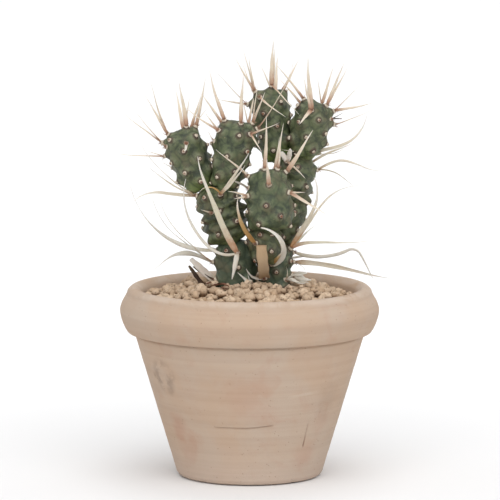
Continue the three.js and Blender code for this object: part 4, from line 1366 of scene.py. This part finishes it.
def add_light(name, place, size, watts):
    """A square soft light that faces the pot."""
    light = bpy.data.lights.new(name, "AREA")
    light.size = size
    light.energy = watts
    lamp = bpy.data.objects.new(name, light)
    lamp.location = place
    lamp.rotation_euler = (Vector((0, 0, 0.1)) - Vector(place)).to_track_quat("-Z", "Y").to_euler()
    bpy.context.scene.collection.objects.link(lamp)


def add_sun(name, place, strength, spread):
    """A distant soft light that shines from the way of the place."""
    light = bpy.data.lights.new(name, "SUN")
    light.energy = strength
    light.angle = spread
    lamp = bpy.data.objects.new(name, light)
    lamp.rotation_euler = (-Vector(place)).to_track_quat("-Z", "Y").to_euler()
    bpy.context.scene.collection.objects.link(lamp)


class CACTUS_OT_stage(Operator):
    """Adds the camera, the pale floor and the soft lights"""

    bl_idname = "cactus.stage"
    bl_label = "Stage"
    # Adds the camera, the pale floor with painted shade round the pot, and the soft lights

    def execute(self, context):
        stage = context.scene.cactus_stage
        scene = context.scene
        camera = bpy.data.objects.new("camera", bpy.data.cameras.new("camera"))
        scene.collection.objects.link(camera)
        camera.data.sensor_width = 36
        camera.data.lens = 36 * stage.distance / stage.across
        aim = Vector((0.3 * MM, 0, stage.aim))
        back = Vector((0, -math.cos(stage.elevation), math.sin(stage.elevation)))
        camera.location = aim + back * stage.distance
        camera.rotation_euler = (-back).to_track_quat("-Z", "Y").to_euler()
        camera.data.clip_end = 4 * stage.floor_radius
        scene.camera = camera
        scene.view_settings.view_transform = "Standard"

        ways = np.arange(64) * 2 * np.pi / 64
        rim = np.stack([np.cos(ways), np.sin(ways), np.zeros(64)], -1) * stage.floor_radius
        mesh = bpy.data.meshes.new("floor")
        mesh.from_pydata(rim.tolist(), [], [list(range(64))])
        floor = bpy.data.objects.new("floor", mesh)
        scene.collection.objects.link(floor)
        paper = Finish("floor", roughness=0.9, specular_ior_level=0.1)
        # Painted shade: the floor is greyer near the pot and pales to its own colour further out.
        away = paper.grade(paper.distance_to((0, 0, 0)), stage.painted_shade_reach * 0.25, stage.painted_shade_reach)
        paper.feed("Base Color", paper.mix(away, stage.painted_shade_floor, stage.floor_colour))
        mesh.materials.append(paper.material)

        scene.world = bpy.data.worlds.new("studio")
        scene.world.use_nodes = True
        tree = scene.world.node_tree
        way = tree.nodes.new("ShaderNodeSeparateXYZ")
        fade = tree.nodes.new("ShaderNodeMapRange")
        for key, value in (("From Min", 0.04), ("From Max", 0.5), ("To Min", 1.0), ("To Max", stage.sky)):
            fade.inputs[key].default_value = value
        tree.links.new(tree.nodes.new("ShaderNodeTexCoord").outputs["Generated"], way.inputs[0])
        tree.links.new(way.outputs["Z"], fade.inputs["Value"])
        tree.nodes["Background"].inputs["Color"].default_value = (1.0, 1.0, 1.0, 1)
        tree.links.new(fade.outputs["Result"], tree.nodes["Background"].inputs["Strength"])
        add_sun("key", (0.1, -1.0, 1.1), 1.7, 1.2)
        add_light("top", (0.2, 0.5, 2.2), 1.2, 8)
        return {"FINISHED"}


# ---- Panel, registering and making ----

OPERATORS = (
    CACTUS_OT_stage, CACTUS_OT_pot, CACTUS_OT_soil, CACTUS_OT_gravel, CACTUS_OT_stems, CACTUS_OT_areoles,
    CACTUS_OT_spines,
)


class CACTUS_PT_panel(Panel):
    """Lists the pieces of the potted cactus"""

    bl_label = "Potted cactus"
    bl_idname = "CACTUS_PT_panel"
    bl_space_type = "VIEW_3D"
    bl_region_type = "UI"
    bl_category = "Cactus"

    def draw(self, context):
        for operator in OPERATORS:
            self.layout.operator(operator.bl_idname)
        for name in SETTINGS:
            box = self.layout.box()
            settings = getattr(context.scene, name)
            for key in settings.bl_rna.properties.keys():
                if key not in ("rna_type", "name"):
                    box.prop(settings, key)


def register():
    for made in (*SETTINGS.values(), *OPERATORS, CACTUS_PT_panel):
        bpy.utils.register_class(made)
    for name, made in SETTINGS.items():
        setattr(bpy.types.Scene, name, PointerProperty(type=made))


def unregister():
    for name in SETTINGS:
        delattr(bpy.types.Scene, name)
    for made in reversed((*SETTINGS.values(), *OPERATORS, CACTUS_PT_panel)):
        bpy.utils.unregister_class(made)


def main():
    register()
    bpy.ops.cactus.stage()
    bpy.ops.cactus.pot()
    bpy.ops.cactus.soil()
    bpy.ops.cactus.gravel()
    bpy.ops.cactus.stems()
    bpy.ops.cactus.areoles()
    bpy.ops.cactus.spines()


if __name__ == "__main__":
    main()
